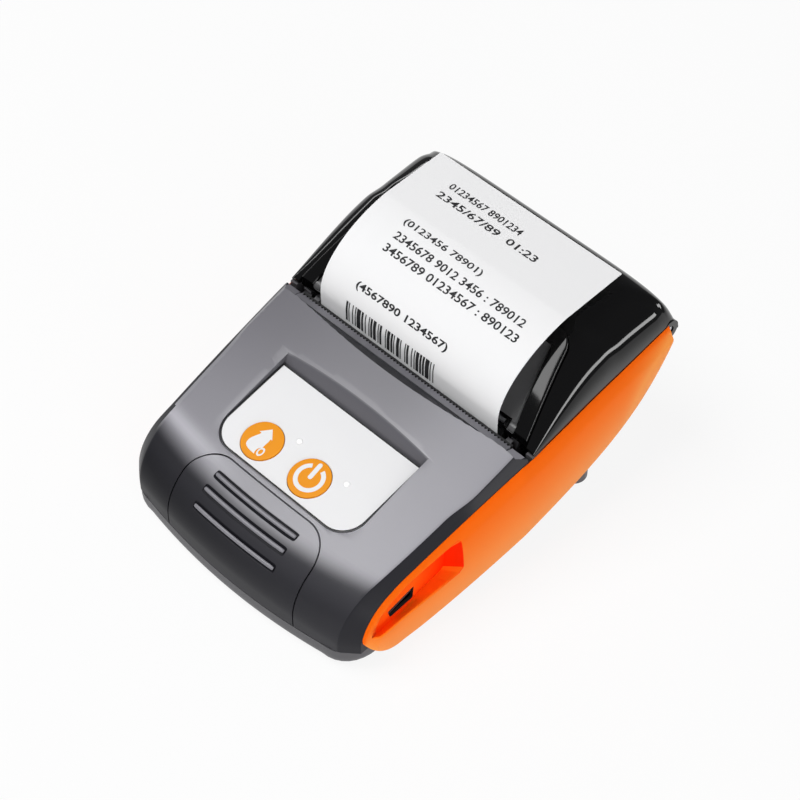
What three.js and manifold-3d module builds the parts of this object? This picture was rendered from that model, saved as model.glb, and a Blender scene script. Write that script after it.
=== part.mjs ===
import * as THREE from 'three';
import Module from 'manifold-3d';
import { mergeVertices } from 'three/addons/utils/BufferGeometryUtils.js';

// A portable receipt printer for 57 mm paper. Millimetres, X right, Y back, Z up, on the floor at z 0.
// Y is 0 a little in front of the tear line. Sizes named for the front are distances forward of it.

const wasm = await Module();
wasm.setup();
const radians = THREE.MathUtils.degToRad;

// General sizes
const overrun = 1;
const gap = 0.3;
const wall = 2;
const roundSides = 24;
const smallSides = 16;
const fineSides = 48;
const arcSteps = 10;

// Gear train on the left: the motor stands over the floor, and the gears carry the platen's height
const gearModule = 0.5;
const addendumShare = 0.8;
const toothShares = [-0.3, -0.13, 0.13, 0.3];
const pinionTeeth = 10;
const idlerTeeth = 26;
const platenTeeth = 17;
const gearWidth = 2.4;
const gearBacklash = 0.28;
const gearInset = 1.1;
const idlerAngle = 243;
const motorAngle = 222;
const motorStand = 2.76;
const motorRadius = 4.8;
const motorLength = 15;
const motorShaftRadius = 0.8;
const centreDistance = (a, b) => (a + b) * gearModule / 2 + gearBacklash;
const motorHeight = wall + motorStand + motorRadius;
const idlerHeight = motorHeight - centreDistance(idlerTeeth, pinionTeeth) * Math.sin(radians(motorAngle));
const platenHeight = idlerHeight - centreDistance(platenTeeth, idlerTeeth) * Math.sin(radians(idlerAngle));

// Paper, platen and its carriers
const paperWidth = 57;
const paperThickness = 0.3;
const tearLine = 3.6;
const paperSetback = 0.8;
const paperFace = tearLine + paperSetback;
const platenRadius = 4.6;
const platenOverhang = 0.2;
const platenLength = paperWidth + 2 * platenOverhang;
const platenBack = paperFace + paperThickness + gap + platenRadius;
const shaftRadius = 1.5;
const bushRadius = 3;
const bushLength = 2.4;
const carrierInner = platenLength / 2 + gap;
const carrierWidth = 1.1;
const carrierEye = 2.6;
const carrierDrop = 6.2;
const runningGap = 0.08;

// Mechanism frame and print head
const frameWall = 1.6;
const frameHalf = carrierInner + carrierWidth + gap + bushLength - frameWall / 2;
const frameFront = 3.5;
const frameBehind = 5.4;
const frameBack = platenBack + frameBehind;
const frameClear = 0.44;
const frameFloor = motorHeight + motorRadius + frameClear;
const frameRise = 3.2;
const frameTop = platenHeight + frameRise;
const headRise = 2.8;
const headTop = platenHeight + headRise;
const headStand = 2.6;
const headBottom = frameFloor + frameWall + headStand;
const headInset = 1.5;
const headWidth = paperWidth - 2 * headInset;
const headThickness = 1.3;
const sinkThickness = 2;
const springRadius = 1.6;
const springPlace = headWidth / 3;

// Paper roll and bin
const rollRadius = 15;
const rollRise = 1.4;
const rollSpace = 1.8;
const rollHeight = platenHeight + rollRise;
const rollBack = platenBack + platenRadius + rollRadius + rollSpace;
const coreRadius = 6;
const coreWall = 1.2;
const binGap = 0.9;
const binSideGap = 0.5;
const binWall = 1.2;
const binHalf = paperWidth / 2 + binSideGap + binWall;
const binFrom = 250;
const binTo = 360;
const cheekFrom = 205;
const tabHeight = 5;

// Case: the nose is at the front
const noseReach = 55;
const tearRise = 5.8;
const tearHeight = platenHeight + tearRise;
const crownRise = 3.5;
const crownHeight = tearHeight + crownRise;
const seamHeight = 5.8;
const topSlopeShare = 0.264;
const noseRadius = 14;
const slopeAngle = Math.atan(topSlopeShare);
const noseBack = noseRadius - noseReach;
const noseHeight = crownHeight + topSlopeShare * noseBack - noseRadius / Math.cos(slopeAngle);
const bowRadius = 161;
const crownRadius = 325;
const bow = (x) => x * x / (2 * bowRadius);
const crown = (x) => x * x / (2 * crownRadius);
const sideSpace = 7.2;
const sideBack = frameHalf + sideSpace;
const sideNarrowing = 2.1;
const sideFront = sideBack - sideNarrowing;
const sideTaperStart = 1.7;
const noseStraight = 18.7;
const sideTaperLength = sideTaperStart + noseReach - noseStraight;
const bevelBack = 2.3;
const bevelFront = 3.6;
const bevelDropShare = 0.8;
const creaseBack = sideBack - bevelBack;
const creaseFront = sideFront - bevelFront;
const creasePowerShare = 2.2;
const bottomInset = 1.4;
const bottomRound = 3;

// Hinge, tail and parting line of the paper cover
const hingeBehind = 6;
const hingeBack = rollBack + rollRadius + hingeBehind;
const hingeRise = 3.6;
const hingeHeight = tearHeight + hingeRise;
const hingeRadius = 1.1;
const earRadius = 3;
const reliefRadius = 4.6;
const lugWidth = 3.5;
const lugInset = 6.2;
const tailBehind = 3;
const tailReach = hingeBack + tailBehind;
const tailSweep = 23;
const tailDrop = 2;
const tailPowerShare = 0.52;
const edgeDrop = 1.2;
const edgeStart = tearHeight - edgeDrop;
const edgeRise = 6;
const edgeSetback = 4;
const edgeEnd = hingeBack - edgeSetback;
const edgePowerShare = 1.25;

// Paper cover
const leverSetback = 2.2;
const leverFront = tearLine + leverSetback;
const coverLead = 0.6;
const coverFront = leverFront - coverLead;
const rollHeadroom = 5.3;
const coverHeight = rollHeight + rollRadius + rollHeadroom;
const coverBehind = 3.2;
const coverBack = hingeBack + coverBehind;
const coverWall = 1.9;
const archShares = [0.34, 0.54];
const coverCrestShare = 0.6;
const coverRiseShare = 0.88;
const coverFallShare = 7.5;
const sectionShares = [0, 0.05, 0.12, 0.2, 0.3, 0.42, 0.55, 0.68, 0.78, 0.86, 0.92, 0.96, 0.985, 1];

// Release lever
const leverLength = 21.4;
const leverBack = leverFront + leverLength;
const leverInset = 2.8;
const leverTaper = 6;
const leverHalfFront = sideBack - leverInset;
const leverRaise = 0.9;
const leverThickness = 2.6;
const leverRail = 4;
const leverPocket = 1.5;
const leverCorner = 3.5;
const leverCornerShare = 0.3;
const leverPinRadius = 0.7;
const leverPinSetback = 1.5;
const leverPinBack = leverFront + leverPinSetback;
const leverPinRise = 0.6;
const leverPinHeight = tearHeight + leverPinRise;
const leverPinEye = 1.4;
const leverEyeWidth = 2.4;

// Side panels
const panelNoseInset = 2.83;
const panelFront = noseReach - bow(sideFront) - panelNoseInset;
const panelTailInset = 3.6;
const panelBack = tailReach - panelTailInset;
const panelLip = 1.2;
const panelFoot = 1;
const panelBulge = 1.7;
const panelSkin = 1.6;
const panelClearance = 0.45;
const panelLow = 0.6;
const panelSweepStart = 33;
const panelSweepRise = 17;
const panelSweepPowerShare = 1.5;
const panelTailDrop = 3.5;
const panelTailRise = hingeHeight - panelTailDrop - panelSweepRise;
const panelTailPowerShare = 8;

// The lower case draws in under the side panels
const tuckLeanShare = 0.6;
const tuckFree = 1.2;
const tuckMost = 6.3;
const tuckHigh = 2.1;
const tuckHighFrom = 9.8;
const tuckHighLeanShare = 1.2;
const tuckStart = 20;
const tuckCount = 14;

const panelFrontTurn = 17.9;
const panelTipShare = 0.02;
const columnCount = 22;
const rowCount = 6;

// Charging recess in the right panel
const recessInset = 3.3;
const recessFront = panelFront - recessInset;
const recessBack = 19.7;
const recessCrestInset = 13.6;
const recessCrest = recessFront - recessCrestInset;
const recessFrontRise = 0.2;
const recessFrontHeight = 2.4;
const recessBackDrop = 12.9;
const recessBackHeight = 7.8;
const recessMiddleShare = 0.72;
const recessWall = 1.1;
const recessDepth = 2.8;
const recessInner = sideBack - recessDepth;
const recessLowFront = noseHeight + recessFrontRise;
const recessTopFront = recessLowFront + recessFrontHeight;
const recessTopBack = crownHeight - recessBackDrop;
const recessLowBack = recessTopBack - recessBackHeight;
const portInset = 9.2;
const portBack = recessFront - portInset;
const portRise = 2.8;
const portHeight = recessLowFront + portRise;
const portWidth = 7.6;
const portTall = 2.9;
const portDepth = 5;
const portWall = 0.4;

// Control panel in its recess
const plateMargin = 11.2;
const plateHalf = creaseFront - plateMargin;
const plateNoseInset = 16.9;
const plateFront = noseReach - plateNoseInset;
const plateBack = 13.8;
const plateSink = 1.04;
const plateLow = crownHeight - topSlopeShare * plateFront - plateSink;
const plateSlopeShare = 0.187;
const plateThickness = 0.8;
const plateCorner = 6.5;
const plateFloor = 1.5;
const recessWallRise = 7;
const buttonRadius = 5.15;
const buttonProud = 0.3;
const buttonTravel = 0.4;
const buttonDisc = 0.7;
const buttonSetback = 6.4;
const buttonRow = plateFront - buttonSetback;
const stemRadius = 1.6;
const feedPlace = -11;
const powerPlace = 4.5;
const ledRadius = 0.7;
const feedLedPlace = -4.3;
const feedLedBehind = 5.5;
const powerLedPlace = 12.1;
const powerLedBehind = 4.4;
const ledPlaces = {
  led_window_left: [feedLedPlace, feedLedBehind - buttonRow],
  led_window_right: [powerLedPlace, powerLedBehind - buttonRow],
};

// Battery door and battery
const doorMargin = 12.9;
const doorHalf = creaseFront - doorMargin;
const doorRise = 10.9;
const doorCorner = 8;
const doorGap = 0.25;
const gripInset = 7.9;
const gripHalf = doorHalf - gripInset;
const gripWidth = 1.3;
const gripProud = 0.5;
const gripAngles = [16, 33, 52];
const batteryMargin = 2.1;
const batteryHalf = doorHalf - batteryMargin;
const batteryInset = 6;
const batteryFront = noseReach - batteryInset;
const batteryRear = 10;
const batteryHeight = 11;
const connectorWidth = 8;
const connectorDepth = 3;
const connectorHeight = 4;

// Circuit boards
const boardDrop = 6;
const boardThickness = 1.2;
const boardMargin = 8.5;
const boardHalf = creaseFront - boardMargin;
const boardInset = 1.1;
const boardFront = plateFront - boardInset;
const boardOverhang = 0.8;
const boardRear = plateBack - boardOverhang;
const switchSize = 5;
const usbBoardWidth = 12;
const usbBoardLength = 14;
const radioWidth = 9;
const radioLength = 12;
const radioHeight = 1.6;
const radioInset = 1;
const radioSetback = 7;
const buzzerRadius = 3.6;
const buzzerHeight = 2;
const buzzerInset = 8;
const buzzerSetback = 5.7;

// Printed strip over the cover
const stripFootRise = 2.4;
const stripBendRise = 3.2;
const stripClear = 4.1;
const stripTurnLead = 4.2;
const stripEndLead = 6.5;
const stripShares = [0.62, 0.42];
const stripSteps = 12;

// Tear bar
const tearInset = 2.9;
const tearHalf = creaseBack - tearInset;
const tearDepth = 2.4;
const tearThickness = 1;
const lipLength = 9;
const tearPitch = 2;
const toothDepth = 0.7;
const chamferDropShare = 0.37;

// Case screws
const screwRadius = 1.4;
const screwHead = 2.7;
const screwHeadHeight = 1.6;
const screwLength = 12;
const postRadius = 3.4;
const frontScrewInset = 8.2;
const frontScrewLead = 4.7;
const frontScrewRow = recessBack - frontScrewLead;
const rearScrewInset = 5.2;
const rearScrewLead = 4;
const frontScrewPlace = sideBack - frontScrewInset;
const rearScrewPlace = sideBack - rearScrewInset;
const rearScrewRow = rollBack - rearScrewLead;
const screwPlaces = [
  [frontScrewPlace, -frontScrewRow], [-frontScrewPlace, -frontScrewRow],
  [rearScrewPlace, rearScrewRow], [-rearScrewPlace, rearScrewRow],
];

// Vectors and solids

const at = (x, y, z) => new THREE.Vector3(x, y, z);

function toSolid(geometry) {
  const plain = geometry.clone();
  plain.deleteAttribute('normal');
  plain.deleteAttribute('uv');
  const merged = mergeVertices(plain, 1e-4);
  return new wasm.Manifold(new wasm.Mesh({
    numProp: 3,
    vertProperties: new Float32Array(merged.attributes.position.array),
    triVerts: new Uint32Array(merged.index.array),
  }));
}

function toGeometry(solid) {
  const mesh = solid.getMesh();
  const geometry = new THREE.BufferGeometry();
  geometry.setAttribute('position', new THREE.BufferAttribute(new Float32Array(mesh.vertProperties), 3));
  geometry.setIndex(new THREE.BufferAttribute(new Uint32Array(mesh.triVerts), 1));
  const flat = geometry.toNonIndexed();
  flat.computeVertexNormals();
  return flat;
}

// Rings with the same number of points are joined, and the two end rings are capped on the given plane
function loft(rings, flatten) {
  const count = rings[0].length;
  const points = rings.flat();
  const faces = [];
  for (let row = 0; row + 1 < rings.length; row++) {
    for (let i = 0; i < count; i++) {
      const a = row * count + i;
      const b = row * count + (i + 1) % count;
      faces.push(a, b, b + count, a, b + count, a + count);
    }
  }
  const last = (rings.length - 1) * count;
  const cap = (ring, start, flipped) => {
    const contour = ring.map(flatten);
    const turned = (THREE.ShapeUtils.area(contour) < 0) !== flipped;
    for (const [a, b, c] of THREE.ShapeUtils.triangulateShape(contour, [])) {
      faces.push(start + a, start + (turned ? c : b), start + (turned ? b : c));
    }
  };
  cap(rings[0], 0, true);
  cap(rings[rings.length - 1], last, false);
  return outward(points, faces);
}

function outward(points, faces) {
  const geometry = new THREE.BufferGeometry();
  const positions = points.flatMap((p) => [p.x, p.y, p.z]);
  geometry.setAttribute('position', new THREE.Float32BufferAttribute(positions, 3));
  let volume = 0;
  for (let i = 0; i < faces.length; i += 3) {
    const [a, b, c] = [points[faces[i]], points[faces[i + 1]], points[faces[i + 2]]];
    volume += a.dot(new THREE.Vector3().crossVectors(b, c));
  }
  if (volume < 0) faces.reverse();
  geometry.setIndex(faces);
  return geometry;
}

const alongX = (p) => new THREE.Vector2(p.y, p.z);
const alongZ = (p) => new THREE.Vector2(p.x, p.y);

// A profile of [y, z] points between two planes of constant x
function sideProfile(profile, x0, x1) {
  return loft([x0, x1].map((x) => profile.map(([y, z]) => at(x, y, z))), alongX);
}

// A plan outline of [x, y] points between two levels
function plan(outline, z0, z1) {
  return loft([z0, z1].map((z) => outline.map(([x, y]) => at(x, y, z))), alongZ);
}

function box(x0, x1, y0, y1, z0, z1) {
  return plan([[x0, y0], [x1, y0], [x1, y1], [x0, y1]], z0, z1);
}

// A round rod from one point along a direction
function rod(radius, from, direction, length, sides = roundSides) {
  const geometry = new THREE.CylinderGeometry(radius, radius, length, sides);
  const middle = from.clone().addScaledVector(direction, length / 2);
  const turn = new THREE.Quaternion().setFromUnitVectors(new THREE.Vector3(0, 1, 0), direction);
  return geometry.applyQuaternion(turn).translate(middle.x, middle.y, middle.z);
}

const rightward = new THREE.Vector3(1, 0, 0);
const backward = new THREE.Vector3(0, 1, 0);
const upward = new THREE.Vector3(0, 0, 1);

function join(...geometries) {
  return toGeometry(geometries.map(toSolid).reduce((sum, piece) => sum.add(piece)));
}

function cut(geometry, ...tools) {
  return toGeometry(tools.map(toSolid).reduce((rest, tool) => rest.subtract(tool), toSolid(geometry)));
}

function common(a, b) {
  return toGeometry(toSolid(a).intersect(toSolid(b)));
}

const blend = (a, b, share) => a + (b - a) * share;
const steps = (count) => Array.from({ length: count + 1 }, (_, i) => i / count);

// Case surface, shared by the shells, the door and the panels

function creaseHalf(y) {
  const share = Math.min(1, Math.max(0, (tearLine - y) / (noseReach + tearLine)));
  return creaseBack - (creaseBack - creaseFront) * share ** creasePowerShare;
}

function sideHalf(y) {
  const share = Math.min(1, Math.max(0, (sideTaperStart - y) / sideTaperLength));
  return blend(sideBack, sideFront, share);
}

// The side profile at one x, from the back end over the nose to the foot, moved inward by the inset
function profileAt(x, inset, back, foot) {
  const radius = noseRadius - inset;
  const points = [];
  const tangentBack = noseBack - radius * Math.sin(slopeAngle);
  const lineSteps = 4;
  for (const share of steps(lineSteps)) {
    const y = blend(back - bow(x), tangentBack, share);
    const z = crownHeight + topSlopeShare * y - inset / Math.cos(slopeAngle);
    points.push([y, z]);
  }
  const arcSteps = 7;
  for (const share of steps(arcSteps).slice(1)) {
    const angle = blend(slopeAngle, Math.PI / 2, share);
    points.push([noseBack - radius * Math.sin(angle), noseHeight + radius * Math.cos(angle)]);
  }
  const placed = points.map(([y, z]) => [y + bow(x), Math.max(z - crown(x), foot + overrun)]);
  placed.push([noseBack - radius + bow(x), foot]);
  return placed;
}

// A ring across the case: row 0 is the middle, 1 the crease, 2 the outside of the bevel
function caseRing(row, inset, back, foot) {
  const side = Math.sign(row);
  const place = Math.abs(row);
  const spanAt = (y) => {
    const crease = creaseHalf(y) - inset / 2;
    const outer = sideHalf(y) - inset;
    return { x: place <= 1 ? place * crease : blend(crease, outer, place - 1), width: outer - crease };
  };
  const ring = profileAt(creaseBack, inset, back, foot).map(([probe], i) => {
    const { x, width } = spanAt(probe);
    const drop = Math.max(0, place - 1) * bevelDropShare * width;
    const [y, z] = profileAt(x, inset + drop, back, foot)[i];
    return at(side * spanAt(y).x, y, z);
  });
  const end = ring[ring.length - 1].y;
  for (const share of footShares) {
    const y = blend(end, back, share);
    ring.push(at(side * spanAt(y).x, y, foot));
  }
  return ring;
}

const footShares = [0.22, 0.5, 0.75, 0.95, 1];
const caseRows = [-2, -1, -0.8, -0.6, -0.4, -0.2, 0, 0.2, 0.4, 0.6, 0.8, 1, 2];

function caseSolid(inset, back, foot) {
  return loft(caseRows.map((row) => caseRing(row, inset, back, foot)), alongX);
}

// Case halves

function tailAt(z) {
  return tailReach - tailSweep + tailSweep * Math.max(0, z / (hingeHeight - tailDrop)) ** tailPowerShare;
}

// Lower edge of the side panels without the rise round the nose
function panelSweep(y) {
  const way = Math.max(0, (y + panelSweepStart) / (panelBack + panelSweepStart));
  return panelLow + panelSweepRise * way ** panelSweepPowerShare + panelTailRise * way ** panelTailPowerShare;
}

function tuckAt(y, z) {
  const most = Math.min(tuckMost, tuckHigh + tuckHighLeanShare * Math.max(0, tuckHighFrom - z));
  return Math.min(most, Math.max(0, tuckLeanShare * (panelSweep(y) - z) - tuckFree));
}

function lowerOutline(z, inset) {
  const rounding = z < bottomRound ? bottomInset * (1 - Math.max(0, z) / bottomRound) ** 2 : 0;
  const shrink = inset + rounding;
  const outline = [];
  for (const share of steps(arcSteps)) {
    const x = blend(-1, 1, share) * (creaseFront - shrink / 2);
    outline.push([x, shrink - noseReach + bow(x)]);
  }
  const shoulder = shrink - noseReach + bow(sideFront) + bevelDropShare * (sideFront - creaseFront);
  const taperEnd = sideTaperStart - sideTaperLength;
  const rear = Math.max(tailAt(z) - inset, sideTaperStart + overrun);
  const right = [
    [sideFront - shrink, shoulder], [sideFront - shrink, taperEnd],
    ...steps(tuckCount).map((share) => {
      const y = blend(-tuckStart, rear - wall, share);
      return [sideHalf(y) - shrink - tuckAt(y, Math.max(0, z)), y];
    }),
    [sideBack - shrink - wall - tuckAt(rear - wall, Math.max(0, z)), rear],
  ];
  const left = right.map(([x, y]) => [-x, y]).reverse();
  return [...outline, ...right, ...left];
}

const levelShares = [0, 0.03, 0.055, 0.08, 0.12, 0.16, 0.22, 0.28, 0.36, 0.45, 0.65, 0.85, 1];

function lowerSolid(inset, low, high) {
  const levels = levelShares.map((share) => blend(low, high, share));
  return loft(levels.map((z) => lowerOutline(z, inset).map(([x, y]) => at(x, y, z))), alongZ);
}

function edgeAt(y) {
  const share = Math.max(0, (y - tearLine) / (edgeEnd - tearLine));
  return edgeStart + edgeRise * share ** edgePowerShare;
}

function edgeLine(lift) {
  return steps(arcSteps).map((share) => {
    const y = blend(tearLine, hingeBack - reliefRadius, share);
    return [y, edgeAt(y) + lift];
  });
}

function screwPosts() {
  return screwPlaces.map(([x, y], i) => {
    const start = y < 0 ? wall / 2 : 0;
    return rod(postRadius, at(x, y, start), upward, postTops[i] - start);
  });
}

const frontPostTop = seamHeight + wall;
const rearPostTop = rollHeight - rollRadius / 2;
const postTops = [frontPostTop, frontPostTop, rearPostTop, rearPostTop];

const lugPlaces = [sideBack - lugInset, lugInset - sideBack];

function hingeLug(place) {
  const half = lugWidth / 2;
  const eyeRadius = hingeRadius + wall / 2;
  const base = box(place - half, place + half, hingeBack - earRadius, hingeBack + eyeRadius,
    hingeHeight - reliefRadius - wall, hingeHeight);
  const eye = rod(eyeRadius + gap, at(place - half, hingeBack, hingeHeight), rightward, lugWidth);
  return join(base, eye);
}

// A rod across the whole width
function widthRod(radius, y, z, reach = sideBack + overrun) {
  return rod(radius, at(-reach, y, z), rightward, 2 * reach);
}

function recessOutline(grow) {
  const crest = [-recessCrest, recessTopBack - gap];
  const middle = [-(recessFront + recessCrest) / 2, blend(recessTopFront, recessTopBack, recessMiddleShare)];
  return [
    [-recessFront - grow, recessLowFront - grow], [-recessBack + grow, recessLowBack - grow],
    [-recessBack + grow, recessTopBack + grow], [crest[0], crest[1] + grow],
    [middle[0] - grow / 2, middle[1] + grow], [-recessFront - grow, recessTopFront + grow],
  ];
}

function lowerCase() {
  const top = edgeStart + edgeRise + earRadius;
  const rearTop = hingeHeight - earRadius;
  const shell = cut(lowerSolid(0, 0, top), lowerSolid(wall, wall, top + overrun));
  const above = [
    [-noseReach - overrun, seamHeight - gap], [tearLine + gap, seamHeight - gap], ...edgeLine(-gap),
    [hingeBack - reliefRadius, rearTop], [tailReach + earRadius, rearTop],
    [tailReach + earRadius, top + 2 * overrun], [-noseReach - overrun, top + 2 * overrun],
  ];
  const reach = sideBack + overrun;
  const trimmed = cut(shell, sideProfile(above, -reach, reach), widthRod(reliefRadius, hingeBack, hingeHeight));
  const built = join(trimmed, ...screwPosts(), ...lugPlaces.map(hingeLug));
  const bores = screwPlaces.flatMap(([x, y], i) => [
    rod(screwRadius + gap, at(x, y, -overrun), upward, postTops[i] + 2 * overrun),
    rod(screwHead + gap, at(x, y, -overrun), upward, screwHeadHeight + gap + overrun),
  ]);
  return cut(built, ...bores, widthRod(hingeRadius + gap, hingeBack, hingeHeight));
}

// Plate plane, shared by the recess, the plate, the buttons and the board

const plateAngle = Math.atan(plateSlopeShare);
const plateNormal = new THREE.Vector3(0, -Math.sin(plateAngle), Math.cos(plateAngle));

// Moves a solid built flat over z 0 onto the plate plane
function onPlate(geometry, lift = 0) {
  const moved = geometry.clone();
  moved.applyMatrix4(new THREE.Matrix4().makeRotationX(plateAngle));
  moved.translate(0, -plateFront, plateLow);
  return moved.translate(plateNormal.x * lift, plateNormal.y * lift, plateNormal.z * lift);
}

const plateLength = (plateFront - plateBack) / Math.cos(plateAngle);

// Plate coordinates start at the front edge
const plateRow = (y) => (y + plateFront) / Math.cos(plateAngle);

function plateOutline(grow, backGrow) {
  const half = plateHalf + grow;
  const corner = plateCorner;
  const front = steps(arcSteps / 2).map((share) => {
    const angle = blend(Math.PI, Math.PI * 1.5, share);
    return [corner - half + corner * Math.cos(angle), corner - grow + corner * Math.sin(angle)];
  });
  const right = front.map(([x, y]) => [-x, y]).reverse();
  return [...front, ...right, [half, plateLength + backGrow], [-half, plateLength + backGrow]];
}

function plateRecess() {
  const floor = -plateThickness;
  const levels = [floor, 0, recessWallRise];
  const rings = levels.map((z) => plateOutline(gap, gap + Math.max(0, z)).map(([x, y]) => at(x, y, z)));
  return onPlate(loft(rings, alongZ));
}

const buttonPlaces = { feed_button: feedPlace, power_button: powerPlace };

function plateRod(radius, x, y, low, high) {
  return onPlate(rod(radius, at(x, plateRow(y), low), upward, high - low));
}

function upperCase() {
  const back = tearLine - gap;
  const shell = cut(caseSolid(0, back, seamHeight), caseSolid(wall, back + overrun, seamHeight - overrun));
  const floorEdge = gap + plateFloor;
  const floorBlock = onPlate(plan(plateOutline(floorEdge, floorEdge), -plateThickness - plateFloor, wall));
  const floor = common(floorBlock, caseSolid(wall / 2, back, seamHeight));
  const bosses = screwPlaces.slice(0, 2).map(([x, y]) => common(
    rod(postRadius - gap, at(x, y, frontPostTop + gap), upward, crownHeight),
    caseSolid(wall / 2, back, seamHeight),
  ));
  const lipBlock = box(-sideBack, sideBack, back - lipLength, back, headTop + gap, crownHeight);
  const lip = common(lipBlock, caseSolid(wall / 2, back, seamHeight));
  const built = join(shell, floor, lip, ...bosses);
  const reach = sideBack + overrun;
  const [chamferBack, chamferFront, above] = [tearLine + overrun, tearLine - noseRadius, crownHeight + noseRadius];
  const chamfer = [
    [chamferBack, chamferAt(chamferBack)], [chamferBack, above],
    [chamferFront, above], [chamferFront, chamferAt(chamferFront)],
  ];
  const seatLow = (y) => chamferAt(y) - tearThickness - gap;
  const seatFront = tearLine - tearDepth - gap;
  const seat = sideProfile([
    [seatFront, seatLow(seatFront)], [tearLine + overrun, seatLow(tearLine + overrun)],
    [tearLine + overrun, crownHeight], [seatFront, crownHeight],
  ], -tearHalf - gap, tearHalf + gap);
  const pilots = screwPlaces.slice(0, 2).map(([x, y]) => (
    rod(screwRadius, at(x, y, frontPostTop), upward, screwLength / 2)));
  const holes = Object.values(buttonPlaces).map((x) => (
    plateRod(stemRadius + gap, x, -buttonRow, -boardDrop, wall)));
  const side = sideProfile(recessOutline(recessWall + gap), recessInner - 2 * wall, reach);
  const crownCut = sideProfile(chamfer, -reach, reach);
  return cut(built, crownCut, seat, plateRecess(), doorPrism(doorGap), side, ...pilots, ...holes);
}

// The plane that cuts the crown down to the tear bar
const chamferAt = (y) => tearHeight - chamferDropShare * (y - tearLine + tearDepth);

// Battery door, taken off along a line tilted up and forward

function doorPrism(grow) {
  const half = doorHalf + grow;
  const top = (noseBack + noseHeight) * Math.SQRT1_2 + doorRise + grow;
  const corner = doorCorner + grow;
  const bend = steps(arcSteps / 2).map((share) => {
    const angle = share * Math.PI / 2;
    return [half - corner + corner * Math.cos(angle), top - corner + corner * Math.sin(angle)];
  });
  const foot = -noseReach;
  const right = [[half, foot], ...bend];
  const outline = [...right, ...right.map(([x, q]) => [-x, q]).reverse()];
  const reach = [noseReach / 4, noseReach * 1.5];
  const ring = (distance) => outline.map(([x, q]) => (
    at(x, (q - distance) * Math.SQRT1_2, (q + distance) * Math.SQRT1_2)));
  return loft(reach.map(ring), (p) => new THREE.Vector2(p.x, (p.y + p.z) * Math.SQRT1_2));
}

function gripBar(degrees) {
  const turn = radians(degrees);
  const out = new THREE.Vector3(0, -Math.sin(turn), Math.cos(turn));
  const rise = noseRadius + (gripProud - overrun) / 2;
  const bar = new THREE.BoxGeometry(2 * gripHalf, gripWidth, overrun + gripProud);
  bar.applyQuaternion(new THREE.Quaternion().setFromUnitVectors(upward, out));
  return bar.translate(0, noseBack + out.y * rise, noseHeight + out.z * rise);
}

function batteryDoor() {
  const back = tearLine - gap;
  const shell = cut(caseSolid(0, back, seamHeight), caseSolid(wall, back + overrun, seamHeight - overrun));
  return join(common(shell, doorPrism(0)), ...gripAngles.map(gripBar));
}

// Side panels: a leaf of columns, each from its lower to its upper edge

function panelTop(y) {
  const crease = creaseHalf(y);
  const half = sideHalf(y);
  const inset = bevelDropShare * (half - crease) + gap;
  const radius = noseRadius - inset;
  const centre = noseBack + bow(half);
  const tangent = centre - radius * Math.sin(slopeAngle);
  if (y < tangent) return noseHeight - crown(half) + Math.sqrt(Math.max(0, radius ** 2 - (y - centre) ** 2));
  const line = crownHeight + topSlopeShare * (y - bow(half)) - crown(half) - inset / Math.cos(slopeAngle);
  return Math.min(line, edgeAt(y) - gap / 2);
}

function panelBottom(y) {
  const nose = Math.max(0, (-y - panelFront + panelFrontTurn) / panelFrontTurn);
  return panelSweep(y) + (noseHeight - panelLow) * nose ** 2;
}

function panelColumn(share) {
  const y = blend(-panelFront, panelBack, (1 - Math.cos(Math.PI * share)) / 2);
  const low = panelBottom(y);
  const high = Math.max(panelTop(y), low);
  const near = (high - low) / (panelTop(0) - panelLow);
  return { y, low, high, swell: panelBulge * Math.sqrt(Math.min(1, Math.max(0, near))) };
}

function panelPoint({ y, low, high, swell }, share, inner) {
  const z = blend(low, high, share);
  const outer = sideHalf(y) + blend(panelFoot, panelLip, share) + swell * 4 * share * (1 - share);
  const x = inner ? Math.max(sideHalf(y) + panelClearance, outer - panelSkin) : outer;
  return at(x, y, z);
}

function sidePanel() {
  const shares = steps(columnCount).map((share) => blend(panelTipShare, 1 - panelTipShare, share));
  const rings = shares.map((share) => {
    const column = panelColumn(share);
    const outer = steps(rowCount).map((row) => panelPoint(column, row, false));
    const inner = steps(rowCount).map((row) => panelPoint(column, row, true)).reverse();
    return [...outer, ...inner];
  });
  return loft(rings, (p) => new THREE.Vector2(p.x, p.z));
}

function sidePanelRight() {
  const bossReach = sideFront + gap + panelSkin / 2;
  const boss = sideProfile(recessOutline(recessWall), recessInner - recessWall, bossReach);
  const pocket = sideProfile(recessOutline(0), recessInner, sideBack + noseRadius);
  const mouth = portBox(gap, recessInner - 2 * recessWall, recessInner + overrun);
  return cut(join(sidePanel(), boss), pocket, mouth);
}

const sidePanelLeft = () => outwardMirror(sidePanel());

function outwardMirror(geometry) {
  return toGeometry(toSolid(geometry).mirror([1, 0, 0]));
}

// Charging port and its board, tilted like the top

function tilted(geometry) {
  const moved = geometry.clone();
  moved.applyMatrix4(new THREE.Matrix4().makeRotationX(slopeAngle));
  return moved.translate(0, -portBack, portHeight);
}

function portBox(grow, x0, x1) {
  const half = portWidth / 2 + grow;
  return tilted(box(x0, x1, -half, half, -portTall / 2 - grow, portTall / 2 + grow));
}

const portFace = recessInner - gap;

function usbPort() {
  const mouth = portBox(-portWall, portFace - portDepth + portWall, portFace + overrun);
  return cut(portBox(0, portFace - portDepth, portFace), mouth);
}

function usbBoard() {
  const top = -portTall / 2 - gap;
  const right = recessInner - recessWall - gap;
  const half = usbBoardLength / 2;
  return tilted(box(right - usbBoardWidth, right, -half, half, top - boardThickness, top));
}

// Control panel, its windows, buttons and switches

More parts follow.
